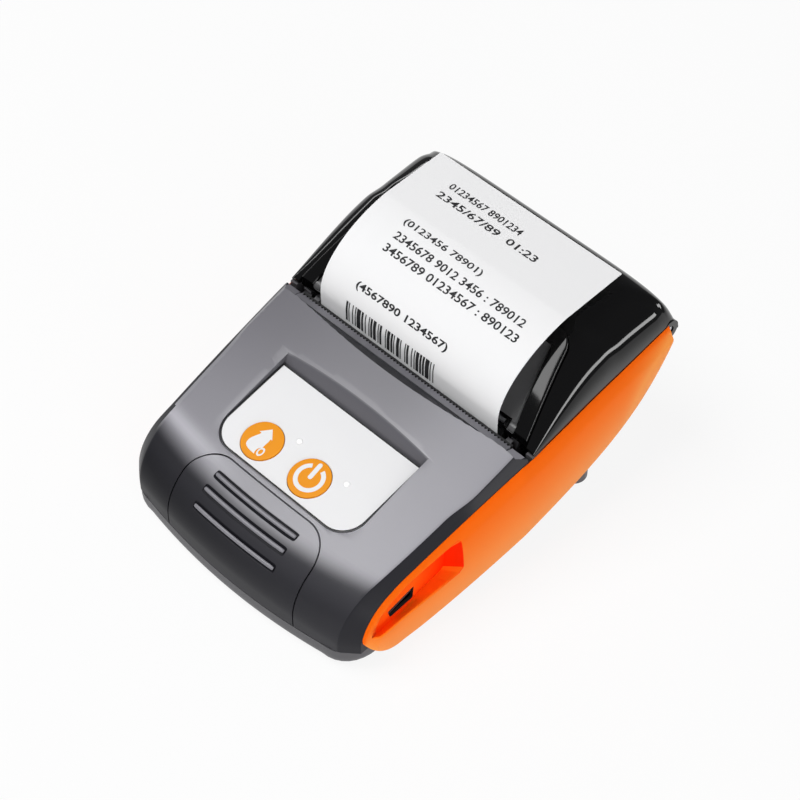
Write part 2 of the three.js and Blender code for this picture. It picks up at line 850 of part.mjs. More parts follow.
function controlPanel() {
  const plate = onPlate(plan(plateOutline(0, 0), -plateThickness + gap / 2, 0));
  const holes = Object.values(buttonPlaces).map((x) => (
    plateRod(buttonRadius + gap, x, -buttonRow, -overrun, overrun)));
  const windows = Object.values(ledPlaces).map(([x, y]) => (
    plateRod(ledRadius + gap / 2, x, y, -overrun, overrun)));
  return cut(plate, ...holes, ...windows);
}

const ledWindow = ([x, y]) => plateRod(ledRadius, x, y, -plateThickness + gap / 2, gap / 3);

const switchTop = -boardDrop + wall;

function button(x) {
  const disc = plateRod(buttonRadius, x, -buttonRow, buttonProud - buttonDisc, buttonProud);
  const stem = plateRod(stemRadius, x, -buttonRow, switchTop + gap / 3 + buttonTravel, 0);
  return join(disc, stem);
}

function tactSwitch(x) {
  const half = switchSize / 2;
  const row = plateRow(-buttonRow);
  return onPlate(box(x - half, x + half, row - half, row + half, -boardDrop + gap / 3, switchTop));
}

function mainBoard() {
  const rows = [plateRow(-boardFront), plateRow(-boardRear)];
  return onPlate(box(-boardHalf, boardHalf, ...rows, -boardDrop - boardThickness, -boardDrop));
}

function radioModule() {
  const row = plateRow(-plateBack - radioSetback);
  const low = gap / 3 - boardDrop;
  const outer = radioInset - boardHalf;
  return onPlate(box(outer, outer + radioWidth, row - radioLength / 2, row + radioLength / 2, low, low + radioHeight));
}

function buzzer() {
  const low = gap / 3 - boardDrop;
  return plateRod(buzzerRadius, boardHalf - buzzerInset, -plateBack - buzzerSetback, low, low + buzzerHeight);
}

// Battery

const batteryBase = wall + gap;

function batteryPack() {
  return box(-batteryHalf, batteryHalf, -batteryFront, -batteryRear, batteryBase, batteryBase + batteryHeight);
}

function batteryConnector() {
  const back = gap - batteryRear;
  const half = connectorWidth / 2;
  return box(-half, half, back, back + connectorDepth, batteryBase, batteryBase + connectorHeight);
}

// Print mechanism

function mechanismFrame() {
  const low = frameFloor;
  const cheekProfile = [
    [-frameFront, low], [frameBack, low], [frameBack, platenHeight], [platenBack - bushRadius, frameTop],
    [-frameFront, frameTop - wall],
  ];
  const cheek = (x) => sideProfile(cheekProfile, x, x + frameWall);
  const floor = box(-frameHalf, frameHalf, -frameFront, tearLine, low, low + frameWall);
  const front = box(-frameHalf, frameHalf, -frameFront, frameWall - frameFront, low, frameTop - wall);
  const body = join(cheek(-frameHalf), cheek(frameHalf - frameWall), floor, front);
  const slotHalf = bushRadius + gap;
  const slot = box(-frameHalf - overrun, frameHalf + overrun, platenBack - slotHalf, frameBack + overrun,
    platenHeight, frameTop + overrun);
  return cut(body, slot, widthRod(slotHalf, platenBack, platenHeight, frameHalf + overrun));
}

const headBack = paperFace - gap;

function printHead() {
  return box(-headWidth / 2, headWidth / 2, headBack - headThickness, headBack, headBottom, headTop);
}

function headSink() {
  const back = headBack - headThickness - gap / 3;
  return box(-headWidth / 2, headWidth / 2, back - sinkThickness, back, headBottom, headTop - gap);
}

function headSpring(x) {
  const start = frameWall - frameFront + gap / 3;
  const end = headBack - headThickness - sinkThickness - gap;
  return rod(springRadius, at(x, start, headTop - 2 * wall), backward, end - start, smallSides);
}

function platenRoller() {
  const half = platenLength / 2;
  const sleeve = rod(platenRadius, at(-half, platenBack, platenHeight), rightward, platenLength);
  return cut(sleeve, rod(shaftRadius + gap / 3, at(-half - overrun, platenBack, platenHeight), rightward,
    platenLength + 2 * overrun));
}

const gearPlace = gearInset - sideBack + wall;
const shaftStart = gearPlace - gap;
const shaftEnd = frameHalf + overrun;

function platenShaft() {
  return rod(shaftRadius, at(shaftStart, platenBack, platenHeight), rightward, shaftEnd - shaftStart);
}

function platenBush(side) {
  const start = side > 0 ? frameHalf - bushLength + frameWall / 2 : -frameHalf - frameWall / 2;
  const bush = rod(bushRadius, at(start, platenBack, platenHeight), rightward, bushLength);
  return cut(bush, rod(shaftRadius + gap, at(start - overrun, platenBack, platenHeight), rightward,
    bushLength + 2 * overrun));
}

// Gears: straight teeth, turned so that a tooth of one faces a gap of the next

function gear(teeth, turn, bore) {
  const pitchRadius = teeth * gearModule / 2;
  const root = pitchRadius - gearModule;
  const tip = pitchRadius + gearModule * addendumShare;
  const radii = [root, tip, tip, root];
  const outline = [];
  for (let tooth = 0; tooth < teeth; tooth++) {
    toothShares.forEach((share, i) => {
      const angle = turn + (tooth + share) * 2 * Math.PI / teeth;
      outline.push([radii[i] * Math.cos(angle), radii[i] * Math.sin(angle)]);
    });
  }
  const disc = sideProfile(outline, 0, gearWidth);
  if (!bore) return disc;
  return cut(disc, rod(bore, at(-overrun, 0, 0), rightward, gearWidth + 2 * overrun));
}

function stepFrom([y, z], degrees, distance) {
  return [y + distance * Math.cos(radians(degrees)), z + distance * Math.sin(radians(degrees))];
}

const platenCentre = [platenBack, platenHeight];
const idlerCentre = stepFrom(platenCentre, idlerAngle, centreDistance(platenTeeth, idlerTeeth));
const motorCentre = stepFrom(idlerCentre, motorAngle, centreDistance(idlerTeeth, pinionTeeth));

const platenTurn = radians(idlerAngle);
const idlerTurn = radians(idlerAngle) + Math.PI + Math.PI / idlerTeeth;
const idlerToMotor = radians(motorAngle);
const idlerPhase = (idlerToMotor - idlerTurn) / (2 * Math.PI / idlerTeeth);
const idlerFraction = idlerPhase - Math.floor(idlerPhase);
const pinionTurn = idlerToMotor + Math.PI + (idlerFraction - 0.5) * 2 * Math.PI / pinionTeeth;

const motorStart = -frameHalf + frameWall;

function stepperMotor() {
  return rod(motorRadius, at(motorStart, ...motorCentre), rightward, motorLength);
}

function motorPinion() {
  const wheel = gear(pinionTeeth, pinionTurn, 0).translate(0, ...motorCentre);
  const shaft = rod(motorShaftRadius, at(gearWidth / 2, ...motorCentre), rightward,
    motorStart - gearPlace - gearWidth / 2 - gap, smallSides);
  return join(wheel, shaft);
}

function idlerPost() {
  const length = -frameHalf - gap / 3 - gearPlace;
  return rod(motorShaftRadius, at(gearPlace, ...idlerCentre), rightward, length, smallSides);
}

// Paper roll, bin and web

const rollFrom = (half) => at(-half, rollBack, rollHeight);

function paperRoll() {
  const half = paperWidth / 2;
  return cut(rod(rollRadius, rollFrom(half), rightward, paperWidth, fineSides),
    rod(coreRadius + gap / 3, rollFrom(half + overrun), rightward, paperWidth + 2 * overrun));
}

function rollCore() {
  const half = paperWidth / 2;
  return cut(rod(coreRadius, rollFrom(half), rightward, paperWidth),
    rod(coreRadius - coreWall, rollFrom(half + overrun), rightward, paperWidth + 2 * overrun));
}

function arcPoints(centre, radius, from, to, count) {
  return steps(count).map((share) => stepFrom(centre, blend(from, to, share), radius));
}

const binRadius = rollRadius + binGap;

function paperBin() {
  const centre = [rollBack, rollHeight];
  const inner = arcPoints(centre, binRadius, binFrom, binTo, arcSteps);
  const outer = arcPoints(centre, binRadius + binWall, binTo, binFrom, arcSteps);
  const trough = sideProfile([...inner, ...outer], -binHalf, binHalf);
  const end = [centre, ...arcPoints(centre, binRadius + binWall / 2, cheekFrom, binTo, arcSteps)];
  const cheek = (x) => sideProfile(end, x, x + binWall);
  const tabs = screwPlaces.slice(2).map(([x, y]) => {
    const ends = [Math.sign(x) * (binHalf - binWall / 2), x + Math.sign(x) * screwHead];
    return box(Math.min(...ends), Math.max(...ends), y - screwHead, y + screwHead + wall,
      rearPostTop + gap, rearPostTop + gap + tabHeight);
  });
  const bores = screwPlaces.slice(2).map(([x, y]) => (
    rod(screwRadius, at(x, y, 0), upward, rearPostTop + tabHeight / 2)));
  return cut(join(trough, cheek(-binHalf), cheek(binHalf - binWall), ...tabs), ...bores);
}

// The web leaves the roll low at the front and wraps the platen up to the nip
function paperWeb() {
  const half = paperThickness / 2;
  const small = platenRadius + gap + half;
  const large = rollRadius + gap + half;
  const lean = Math.asin((large - small) / Math.hypot(rollBack - platenBack, rollHeight - platenHeight));
  const tilt = Math.atan2(rollHeight - platenHeight, rollBack - platenBack);
  const touch = 270 - THREE.MathUtils.radToDeg(lean - tilt);
  const side = (offset) => [
    stepFrom([rollBack, rollHeight], touch, large + offset),
    ...arcPoints([platenBack, platenHeight], small + offset, touch, 180, arcSteps / 2),
  ];
  const outline = [...side(-half), ...side(half).reverse()];
  return sideProfile(outline, -paperWidth / 2, paperWidth / 2);
}

// The strip rises from the tear line, curls back over the lever and lies over the cover
function stripLine() {
  const start = new THREE.Vector2(paperFace + paperThickness / 2, platenHeight + stripFootRise);
  const bend = tearHeight + stripBendRise;
  const turn = leverBack - stripTurnLead;
  const crest = coverHeight + stripClear;
  const curve = new THREE.CubicBezierCurve(
    new THREE.Vector2(start.x, bend),
    new THREE.Vector2(start.x + gap, blend(bend, crest, stripShares[0])),
    new THREE.Vector2(blend(start.x, turn, stripShares[1]), crest - 2 * gap),
    new THREE.Vector2(turn, crest),
  );
  return [start, ...curve.getPoints(stripSteps), new THREE.Vector2(hingeBack - stripEndLead, crest + gap / 2)];
}

function thickLine(line, thickness) {
  const offset = (sign) => line.map((point, i) => {
    const before = line[Math.max(0, i - 1)];
    const after = line[Math.min(line.length - 1, i + 1)];
    const along = after.clone().sub(before).normalize();
    return [point.x - sign * along.y * thickness / 2, point.y + sign * along.x * thickness / 2];
  });
  return [...offset(1), ...offset(-1).reverse()];
}

const paperStrip = () => sideProfile(thickLine(stripLine(), paperThickness), -paperWidth / 2, paperWidth / 2);

// Tear bar: a toothed strip on its seat behind the chamfer

function tearBar() {
  const back = tearLine;
  const front = tearLine - tearDepth;
  const count = Math.round(2 * tearHalf / tearPitch);
  const teeth = [];
  for (let i = 0; i < count; i++) {
    const x = blend(tearHalf, -tearHalf, i / count);
    teeth.push([x, back - toothDepth], [x - tearHalf / count, back]);
  }
  const outline = [[-tearHalf, front], [tearHalf, front], ...teeth, [-tearHalf, back - toothDepth]];
  const slab = plan(outline, tearHeight - tearThickness - tearDepth, tearHeight + overrun);
  const low = front - overrun;
  const high = back + overrun;
  const band = [
    [low, chamferAt(low) - tearThickness], [high, chamferAt(high) - tearThickness], [high, chamferAt(high)],
    [low, chamferAt(low)],
  ];
  return common(slab, sideProfile(band, -tearHalf - overrun, tearHalf + overrun));
}

// Paper cover: arched sections from front to back

function coverTop(y) {
  const front = tearHeight + gap;
  const share = (y - coverFront) / (coverBack - coverFront);
  const climb = Math.min(1, Math.max(0, share / coverCrestShare));
  const fall = Math.max(0, (share - coverCrestShare) / (1 - coverCrestShare));
  const rise = Math.sin(climb * Math.PI / 2) ** coverRiseShare;
  return front + (coverHeight - front) * rise - (coverHeight - hingeHeight - wall) * fall ** coverFallShare;
}

// The foot of the cover follows the parting line and drops behind the hinge
function coverFoot(y) {
  const behind = Math.max(0, y - edgeEnd) / (coverBack - edgeEnd);
  return edgeAt(Math.min(y, edgeEnd)) - behind * (edgeStart + edgeRise - hingeHeight + hingeRadius);
}

function coverArch(y, inset) {
  const half = sideHalf(y) - inset;
  const foot = coverFoot(y) - (inset > 0 ? overrun : 0);
  const top = coverTop(y) - inset;
  const ring = steps(smallSides).map((share) => {
    const angle = Math.PI * share;
    const x = half * Math.sign(Math.cos(angle)) * Math.abs(Math.cos(angle)) ** archShares[0];
    const z = foot + Math.max(0, top - foot) * Math.abs(Math.sin(angle)) ** archShares[1];
    return at(x, y, z);
  });
  return ring;
}

function coverSolid(inset, front, back) {
  const rings = sectionShares.map((share) => coverArch(blend(front, back, share), inset));
  return loft(rings, (p) => new THREE.Vector2(p.x, p.z));
}

function leverOutline(grow) {
  const back = leverBack + grow;
  const turn = leverCorner * leverCornerShare;
  const half = (y) => leverHalfFront + grow - leverTaper * (y - leverFront) / leverLength;
  const right = [
    [half(leverFront - grow), leverFront - grow], [half(back - leverCorner), back - leverCorner],
    [half(back) - turn, back - turn], [half(back) - leverCorner, back],
  ];
  return [...right, ...right.map(([x, y]) => [-x, y]).reverse()];
}

function paperCover() {
  const shell = cut(coverSolid(0, coverFront, coverBack),
    coverSolid(coverWall, coverFront - overrun, coverBack - coverWall));
  const opening = plan(leverOutline(gap), seamHeight, coverHeight + overrun);
  const half = leverHalfFront + gap;
  const frontCut = box(-half, half, coverFront - overrun, leverFront, seamHeight, coverHeight);
  const ears = [1, -1].map((side) => {
    const start = side > 0 ? sideBack - wall : -sideBack;
    return rod(earRadius, at(start, hingeBack, hingeHeight), rightward, wall);
  });
  const notches = lugPlaces.map((place) => box(place - lugWidth / 2 - gap, place + lugWidth / 2 + gap,
    hingeBack - reliefRadius, coverBack + overrun, hingeHeight - reliefRadius, hingeHeight + earRadius + wall));
  const pinHole = widthRod(hingeRadius + gap, hingeBack, hingeHeight);
  return cut(join(shell, ...ears), opening, frontCut, ...notches, pinHole);
}

// An arm each side hangs from the cover and holds the platen and the lever's pin
function platenCarrier(side) {
  const start = side > 0 ? carrierInner : -carrierInner - carrierWidth;
  const roof = coverTop(leverBack + 2 * leverRail) - carrierDrop;
  const arm = sideProfile([
    [platenBack - carrierEye, platenHeight], [platenBack + carrierEye, platenHeight],
    [leverBack, roof - carrierEye],
    [leverBack + 2 * leverRail, roof - carrierEye], [leverBack + 2 * leverRail, roof], [leverBack, roof],
    [leverPinBack + leverRail, leverPinHeight + carrierEye / 2], [leverPinBack - leverPinEye, leverPinHeight],
  ], start, start + carrierWidth);
  const eye = rod(carrierEye, at(start, platenBack, platenHeight), rightward, carrierWidth);
  const pinEye = rod(leverPinEye, at(start, leverPinBack, leverPinHeight), rightward, carrierWidth);
  const bore = (radius, y, z) => (
    rod(radius + runningGap, at(start - overrun, y, z), rightward, carrierWidth + 2 * overrun));
  return cut(join(arm, eye, pinEye), bore(shaftRadius, platenBack, platenHeight),
    bore(leverPinRadius, leverPinBack, leverPinHeight));
}

const leverEyeStart = carrierInner + carrierWidth + gap;

const leverPin = () => widthRod(leverPinRadius, leverPinBack, leverPinHeight, leverEyeStart + leverEyeWidth);

function releaseLever() {
  const skin = plan(leverOutline(0), seamHeight, coverHeight + 2 * leverRaise);
  const raised = coverSolidLifted(leverRaise);
  const lowered = coverSolidLifted(leverRaise - leverThickness);
  const plate = cut(common(skin, raised), lowered);
  const pocketOutline = leverOutline(-leverRail);
  pocketOutline[0][1] = leverFront - overrun;
  pocketOutline[pocketOutline.length - 1][1] = leverFront - overrun;
  const pocketFloor = coverSolidLifted(leverRaise - leverPocket);
  const pocket = cut(plan(pocketOutline, seamHeight, coverHeight + wall), pocketFloor);
  const eyes = [leverEyeStart, -leverEyeStart - leverEyeWidth].map((start) => (
    rod(leverPinEye, at(start, leverPinBack, leverPinHeight), rightward, leverEyeWidth)));
  const reach = leverEyeStart + leverEyeWidth + overrun;
  const clear = widthRod(leverPinEye + gap, leverPinBack, leverPinHeight, leverEyeStart - gap);
  return cut(join(cut(plate, pocket, clear), ...eyes),
    widthRod(leverPinRadius + runningGap, leverPinBack, leverPinHeight, reach));
}

// The cover's outer form, moved up or down, for the lever that follows it
function coverSolidLifted(lift) {
  const rings = sectionShares.map((share) => {
    const y = blend(coverFront - overrun, coverBack, share);
    const ring = coverArch(y, 0).map((p) => at(p.x, p.y, p.z + lift));
    ring.push(at(-sideBack, y, 0), at(sideBack, y, 0));
    return ring;
  });
  return loft(rings, (p) => new THREE.Vector2(p.x, p.z));
}

// Screws

function caseScrew() {
  const shank = rod(screwRadius - gap / 3, at(0, 0, gap), upward, screwLength, smallSides);
  const head = rod(screwHead, at(0, 0, gap), upward, screwHeadHeight);
  return join(shank, head);
}

// Assembly

const colours = {
  grey: ['#b0afb6', 0.45, 0],
  dark: ['#3e3e44', 0.5, 0],
  orange: ['#f56e19', 0.4, 0],
  black: ['#101012', 0.12, 0],
  label: ['#eeeef0', 0.4, 0],
  amber: ['#f6a02d', 0.4, 0],
  paper: ['#f2f2f2', 0.9, 0],
  steel: ['#c4c7cc', 0.3, 1],
  aluminium: ['#b5b9bd', 0.4, 1],
  rubber: ['#1c1c1d', 0.9, 0],
  board: ['#14532d', 0.5, 0],
  white: ['#e9e9e4', 0.5, 0],
  ceramic: ['#d9d2c4', 0.4, 0],
  card: ['#b08a5a', 0.9, 0],
  wrap: ['#2b4a78', 0.4, 0],
  clear: ['#dfe8ee', 0.1, 0],
};

const group = new THREE.Group();
group.name = 'receipt_printer';

function add(name, colour, geometry, x = 0, y = 0, z = 0) {
  const [hex, roughness, metalness] = colours[colour];
  const mesh = new THREE.Mesh(geometry, new THREE.MeshStandardMaterial({ color: hex, roughness, metalness }));
  mesh.name = name;
  mesh.position.set(x, y, z);
  group.add(mesh);
}

add('lower_case', 'dark', lowerCase());
add('upper_case', 'grey', upperCase());
add('battery_door', 'grey', batteryDoor());
add('side_panel_right', 'orange', sidePanelRight());
add('side_panel_left', 'orange', sidePanelLeft());
add('tear_bar', 'steel', tearBar());
add('control_panel', 'label', controlPanel());
Object.entries(ledPlaces).forEach(([name, place]) => add(name, 'clear', ledWindow(place)));
Object.entries(buttonPlaces).forEach(([name, x]) => add(name, 'amber', button(x)));
add('feed_switch', 'black', tactSwitch(feedPlace));
add('power_switch', 'black', tactSwitch(powerPlace));
add('main_board', 'board', mainBoard());
add('radio_module', 'steel', radioModule());
add('buzzer', 'black', buzzer());
add('usb_board', 'board', usbBoard());
add('usb_port', 'steel', usbPort());
add('battery_pack', 'wrap', batteryPack());
add('battery_connector', 'white', batteryConnector());
add('mechanism_frame', 'dark', mechanismFrame());
add('print_head', 'ceramic', printHead());
add('head_heat_sink', 'aluminium', headSink());
add('head_spring_right', 'steel', headSpring(springPlace));
add('head_spring_left', 'steel', headSpring(-springPlace));
add('platen_roller', 'rubber', platenRoller());
add('platen_shaft', 'steel', platenShaft());
add('platen_bush_right', 'white', platenBush(1));
add('platen_bush_left', 'white', platenBush(-1));
add('platen_gear', 'white', gear(platenTeeth, platenTurn, shaftRadius + gap / 3), gearPlace, ...platenCentre);
add('idler_gear', 'white', gear(idlerTeeth, idlerTurn, motorShaftRadius + gap / 3), gearPlace, ...idlerCentre);
add('idler_post', 'steel', idlerPost());
add('motor_pinion', 'white', motorPinion(), gearPlace);
add('stepper_motor', 'steel', stepperMotor());
add('paper_bin', 'dark', paperBin());
add('paper_roll', 'paper', paperRoll());
add('roll_core', 'card', rollCore());
add('paper_web', 'paper', paperWeb());
add('paper_strip', 'paper', paperStrip());
add('paper_cover', 'black', paperCover());
add('platen_carrier_right', 'black', platenCarrier(1));
add('platen_carrier_left', 'black', platenCarrier(-1));
add('lever_pin', 'steel', leverPin());
add('release_lever', 'black', releaseLever());
add('hinge_pin', 'steel', widthRod(hingeRadius, hingeBack, hingeHeight, sideBack - gap));
screwPlaces.forEach(([x, y], i) => add(`case_screw_${i + 1}`, 'steel', caseScrew(), x, y));

export default group;
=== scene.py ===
import bpy
import bmesh
import math
import numpy as np
from mathutils import Matrix, Vector


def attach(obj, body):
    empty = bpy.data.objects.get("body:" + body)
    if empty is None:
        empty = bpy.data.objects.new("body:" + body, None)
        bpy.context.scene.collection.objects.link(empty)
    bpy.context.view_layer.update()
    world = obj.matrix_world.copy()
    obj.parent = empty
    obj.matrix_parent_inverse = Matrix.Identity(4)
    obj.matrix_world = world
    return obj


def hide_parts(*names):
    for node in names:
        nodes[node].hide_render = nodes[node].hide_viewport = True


# Portable receipt printer. Sizes below are in millimetres and shares, X right, Y back, Z up.
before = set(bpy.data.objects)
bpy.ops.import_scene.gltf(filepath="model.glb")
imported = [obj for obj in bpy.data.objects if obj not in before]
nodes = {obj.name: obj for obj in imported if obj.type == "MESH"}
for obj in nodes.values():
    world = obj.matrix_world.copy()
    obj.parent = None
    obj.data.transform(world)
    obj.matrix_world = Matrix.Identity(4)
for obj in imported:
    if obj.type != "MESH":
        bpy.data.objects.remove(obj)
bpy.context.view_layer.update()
print("frame loaded:", len(nodes), "nodes")

# Camera
view = {"turn": 44.291, "height": 50.0, "lens": 103.5, "sensor": 36, "clip": (0.01, 100),
        "place": (243.2714, -247.1647, 435.1626)}


def addObject(name, data):
    # an object that shows the data, put into the scene
    item = bpy.data.objects.new(name, data)
    bpy.context.scene.collection.objects.link(item)
    return item


def setFrame(item, right, up, back, place):
    # turns the item's axes to the three directions and moves it to the place, in metres
    turned = Matrix((right, up, back)).transposed().to_4x4()
    item.matrix_world = Matrix.Translation(place) @ turned


def makeCamera():
    # looks down by its height angle from its place, turned about Z
    turn, height = math.radians(view["turn"]), math.radians(view["height"])
    back = Vector((math.sin(turn) * math.cos(height), -math.cos(turn) * math.cos(height), math.sin(height)))
    right = Vector((math.cos(turn), math.sin(turn), 0))
    data = bpy.data.cameras.new("photoCamera")
    data.lens, data.sensor_width = view["lens"], view["sensor"]
    data.clip_start, data.clip_end = view["clip"]
    camera = addObject("photoCamera", data)
    setFrame(camera, right, back.cross(right), back, Vector(view["place"]) * 0.001)
    bpy.context.scene.camera = camera


makeCamera()

# Shared form of the case
case = {
    "noseReach": 55, "noseRadius": 14, "topSlope": 0.264, "crownHeight": 34.8973, "noseHeight": 9.5937,
    "bowRadius": 161, "crownRadius": 325, "tearLine": 3.6, "tearHeight": 31.3973, "seam": 5.8,
    "creaseBack": 36.9, "creaseFront": 33.5, "creasePower": 2.2, "sideBack": 39.2, "sideFront": 37.1,
    "taperStart": 1.7, "taperLength": 38, "bevelDrop": 0.8, "creaseSoft": 0.12, "creaseShift": 0.95,
    "shiftStart": -11, "shiftLength": 9, "wall": 2, "gap": 0.3,
    "hingeBack": 52, "hingeHeight": 34.9973, "tailReach": 55, "tailSweep": 23, "tailHeight": 32.9973,
    "tailPower": 0.52, "edgeStart": 30.1973, "edgeRise": 6, "edgeEnd": 48, "edgePower": 1.25,
    "chamferDrop": 0.37, "tearDepth": 2.4, "crescent": 3.3, "crescentHalf": 34.3, "crescentLeast": 0.02,
    "seatHalf": 34.3, "seatDepth": 1.3, "seatTop": 36, "lipReach": 9, "lipFoot": 28.69733, "overrun": 0.5,
    "cutHalf": 41, "cutTop": 49, "cutAhead": 14, "cutCount": 29, "sideCut": (32.4, 39.5), "reliefRadius": 4.6,
    "across": (0, 0.12, 0.25, 0.4, 0.55, 0.7, 0.82, 0.9, 0.95, 0.975, 0.99, 1, 1.08, 1.18, 1.32, 1.6, 2),
}
hinge = (case["hingeBack"], case["hingeHeight"])
noseBack = case["noseRadius"] - case["noseReach"]
slopeAngle = math.atan(case["topSlope"])


def stepUp(value):
    # smooth step from 0 to 1: three squared minus two cubed
    value = np.clip(value, 0, 1)
    return value * value * (3 - 2 * value)


def ramp(value, start, length):
    # smooth step that leaves 0 at start and is 1 after the length
    return stepUp((value - start) / length)


def bow(x):
    # how far the front curves back at x: x squared over twice the radius
    return x * x / (2 * case["bowRadius"])


def crown(x):
    # how far the top falls away at x: x squared over twice the radius
    return x * x / (2 * case["crownRadius"])


def creaseHalf(y):
    # half width at the crease: full behind the tear line, narrowing with a power of the way to the nose
    share = np.clip((case["tearLine"] - y) / (case["noseReach"] + case["tearLine"]), 0, 1)
    return case["creaseBack"] - (case["creaseBack"] - case["creaseFront"]) * share ** case["creasePower"]


def creaseLine(y):
    # the crease as painted and bent: drawn in ahead of the label's middle
    return creaseHalf(y) - case["creaseShift"] * stepUp((case["shiftStart"] - y) / case["shiftLength"])


def sideHalf(y):
    # half width of the case wall: full at the back, tapering on a straight line to the front
    share = np.clip((case["taperStart"] - y) / case["taperLength"], 0, 1)
    return case["sideBack"] + (case["sideFront"] - case["sideBack"]) * share


def edgeAt(y):
    # height of the line where the cover meets the case
    share = np.clip((y - case["tearLine"]) / (case["edgeEnd"] - case["tearLine"]), 0, None)
    return case["edgeStart"] + case["edgeRise"] * share ** case["edgePower"]


def chamferAt(y):
    # height of the plane that cuts the crown down to the tear strip
    return case["tearHeight"] - case["chamferDrop"] * (y - case["tearLine"] + case["tearDepth"])


def soften(distance, radius):
    # rounded corner: half of the distance plus the root of its square and the radius squared
    return (distance + np.sqrt(distance ** 2 + radius ** 2)) / 2


def caseProfile(x, depth, back, foot, lineCount, arcCount):
    # side profile at x: a straight sloping line, then an arc round the nose, both moved in by depth
    line = np.linspace(0, 1, lineCount)
    arc = np.linspace(0, 1, arcCount + 1)[1:]
    x, depth = np.broadcast_arrays(x, depth)
    radius = case["noseRadius"] - depth
    tangent = noseBack - radius[:, :lineCount] * math.sin(slopeAngle)
    lineY = (back - bow(x[:, :lineCount])) * (1 - line) + tangent * line
    lineZ = case["crownHeight"] + case["topSlope"] * lineY - depth[:, :lineCount] / math.cos(slopeAngle)
    angle = slopeAngle + (math.pi / 2 - slopeAngle) * arc
    arcY = noseBack - radius[:, lineCount:] * np.sin(angle)
    arcZ = case["noseHeight"] + radius[:, lineCount:] * np.cos(angle)
    y = np.concatenate([lineY, arcY], axis=1) + bow(x)
    z = np.maximum(np.concatenate([lineZ, arcZ], axis=1) - crown(x), foot + case["overrun"])
    return y, z


def caseRings(inset, back, foot, lineCount=46, arcCount=34):
    # rings across the case: flat from crease to crease, then a bevel down to the side wall
    fine = np.array(case["across"])
    places = np.concatenate([-fine[:0:-1], fine])
    side, place = np.sign(places)[:, None], np.abs(places)[:, None]
    count = lineCount + arcCount

    def across(y):
        # half widths along a row, the width past the crease and the crease itself
        crease, outer = creaseLine(y) - inset / 2, sideHalf(y) - inset
        width = outer - crease
        return np.where(place <= 1, place * crease, crease + (place - 1) * width), width * (place - 1), crease

    probe = caseProfile(np.full((1, count), case["creaseBack"]), np.full((1, count), inset), back, foot,
                        lineCount, arcCount)[0]
    x, past, crease = across(probe)
    past = np.where(place <= 1, (place - 1) * crease, past)
    drop = case["bevelDrop"] * soften(past, case["creaseSoft"])
    drop = drop * (sideHalf(probe) - creaseHalf(probe)) / (sideHalf(probe) - creaseLine(probe))
    y, z = caseProfile(x, inset + drop, back, foot, lineCount, arcCount)
    ring = np.stack([side * across(y)[0], y, z], axis=-1)
    footRing = ring[:, ::-1].copy()
    footRing[:, :, 2] = foot
    return np.concatenate([ring, footRing], axis=1)


# Mesh helpers
def ringFaces(rows, columns):
    # quads between neighbouring points of closed rings
    row, column = np.meshgrid(np.arange(rows - 1), np.arange(columns), indexing="ij")
    after = (column + 1) % columns
    corners = [row * columns + column, row * columns + after,
               (row + 1) * columns + after, (row + 1) * columns + column]
    return np.stack(corners, axis=-1).reshape(-1, 4)


def addMesh(name, points, faces):
    # a piece from points in millimetres and lists of their numbers
    mesh = bpy.data.meshes.new(name)
    places = np.asarray(points, float).reshape(-1, 3) * 0.001
    mesh.from_pydata(places.tolist(), [], [list(face) for face in faces])
    mesh.update()
    return addObject(name, mesh)


def editMesh(piece, change):
    # the piece's mesh after a change that works on it as a bmesh
    shape = bmesh.new()
    shape.from_mesh(piece.data)
    change(shape)
    shape.to_mesh(piece.data)
    shape.free()
    return piece


def turnOutward(piece):
    # doubled points merged and all faces turned to look out
    def change(shape):
        bmesh.ops.remove_doubles(shape, verts=shape.verts, dist=1e-7)
        bmesh.ops.recalc_face_normals(shape, faces=shape.faces)
    return editMesh(piece, change)


def atLevel(outline, level):
    # an outline of two coordinates with the same third for all its points
    return np.column_stack([outline, np.full(len(outline), level)])


def lineAt(first, second):
    # points with the same second coordinate
    return np.column_stack([first, np.full(len(first), second)])


def arcPoints(x, y, radius, turn):
    # points round a centre: the radius times the cosine and the sine of the turn
    return np.column_stack([x + radius * np.cos(turn), y + radius * np.sin(turn)])


def circle(x, y, radius, sides=72):
    # a whole turn in even steps
    return arcPoints(x, y, radius, np.linspace(0, 2 * math.pi, sides, endpoint=False))


def quarterTurn(count):
    # even steps from 0 to a right angle
    return np.linspace(0, math.pi / 2, count)


def mirrored(right):
    # an outline's right half followed by its mirror image, backwards
    return np.vstack([right, right[::-1] * [-1, 1]])


def loftSolid(name, rings, ladder=False):
    # closed rings joined one to the next, with a cap on the first and the last; a ladder cap has rungs
    rings = np.asarray(rings, float)
    rows, columns = rings.shape[:2]
    faces = ringFaces(rows, columns).tolist()
    for start in (0, (rows - 1) * columns):
        if ladder:
            for i in range(columns // 2 - 1):
                faces.append([start + i, start + i + 1, start + columns - 2 - i, start + columns - 1 - i])
        else:
            faces.append(list(range(start, start + columns)))
    return turnOutward(addMesh(name, rings, faces))


def sideSolid(name, profile, low, high):
    # a profile of y and z between two planes of constant x
    profile = np.asarray(profile, float)
    return loftSolid(name, [np.column_stack([np.full(len(profile), x), profile]) for x in (low, high)])


def planSolid(name, outline, low, high):
    # an outline of x and y between two levels
    outline = np.asarray(outline, float)
    return loftSolid(name, [atLevel(outline, z) for z in (low, high)])


def rodX(name, radius, y, z, low, high, sides=48):
    # a round rod along X
    return sideSolid(name, circle(y, z, radius, sides), low, high)


def rodZ(name, radius, x, y, low, high, sides=40):
    # a round rod along Z
    return planSolid(name, circle(x, y, radius, sides), low, high)


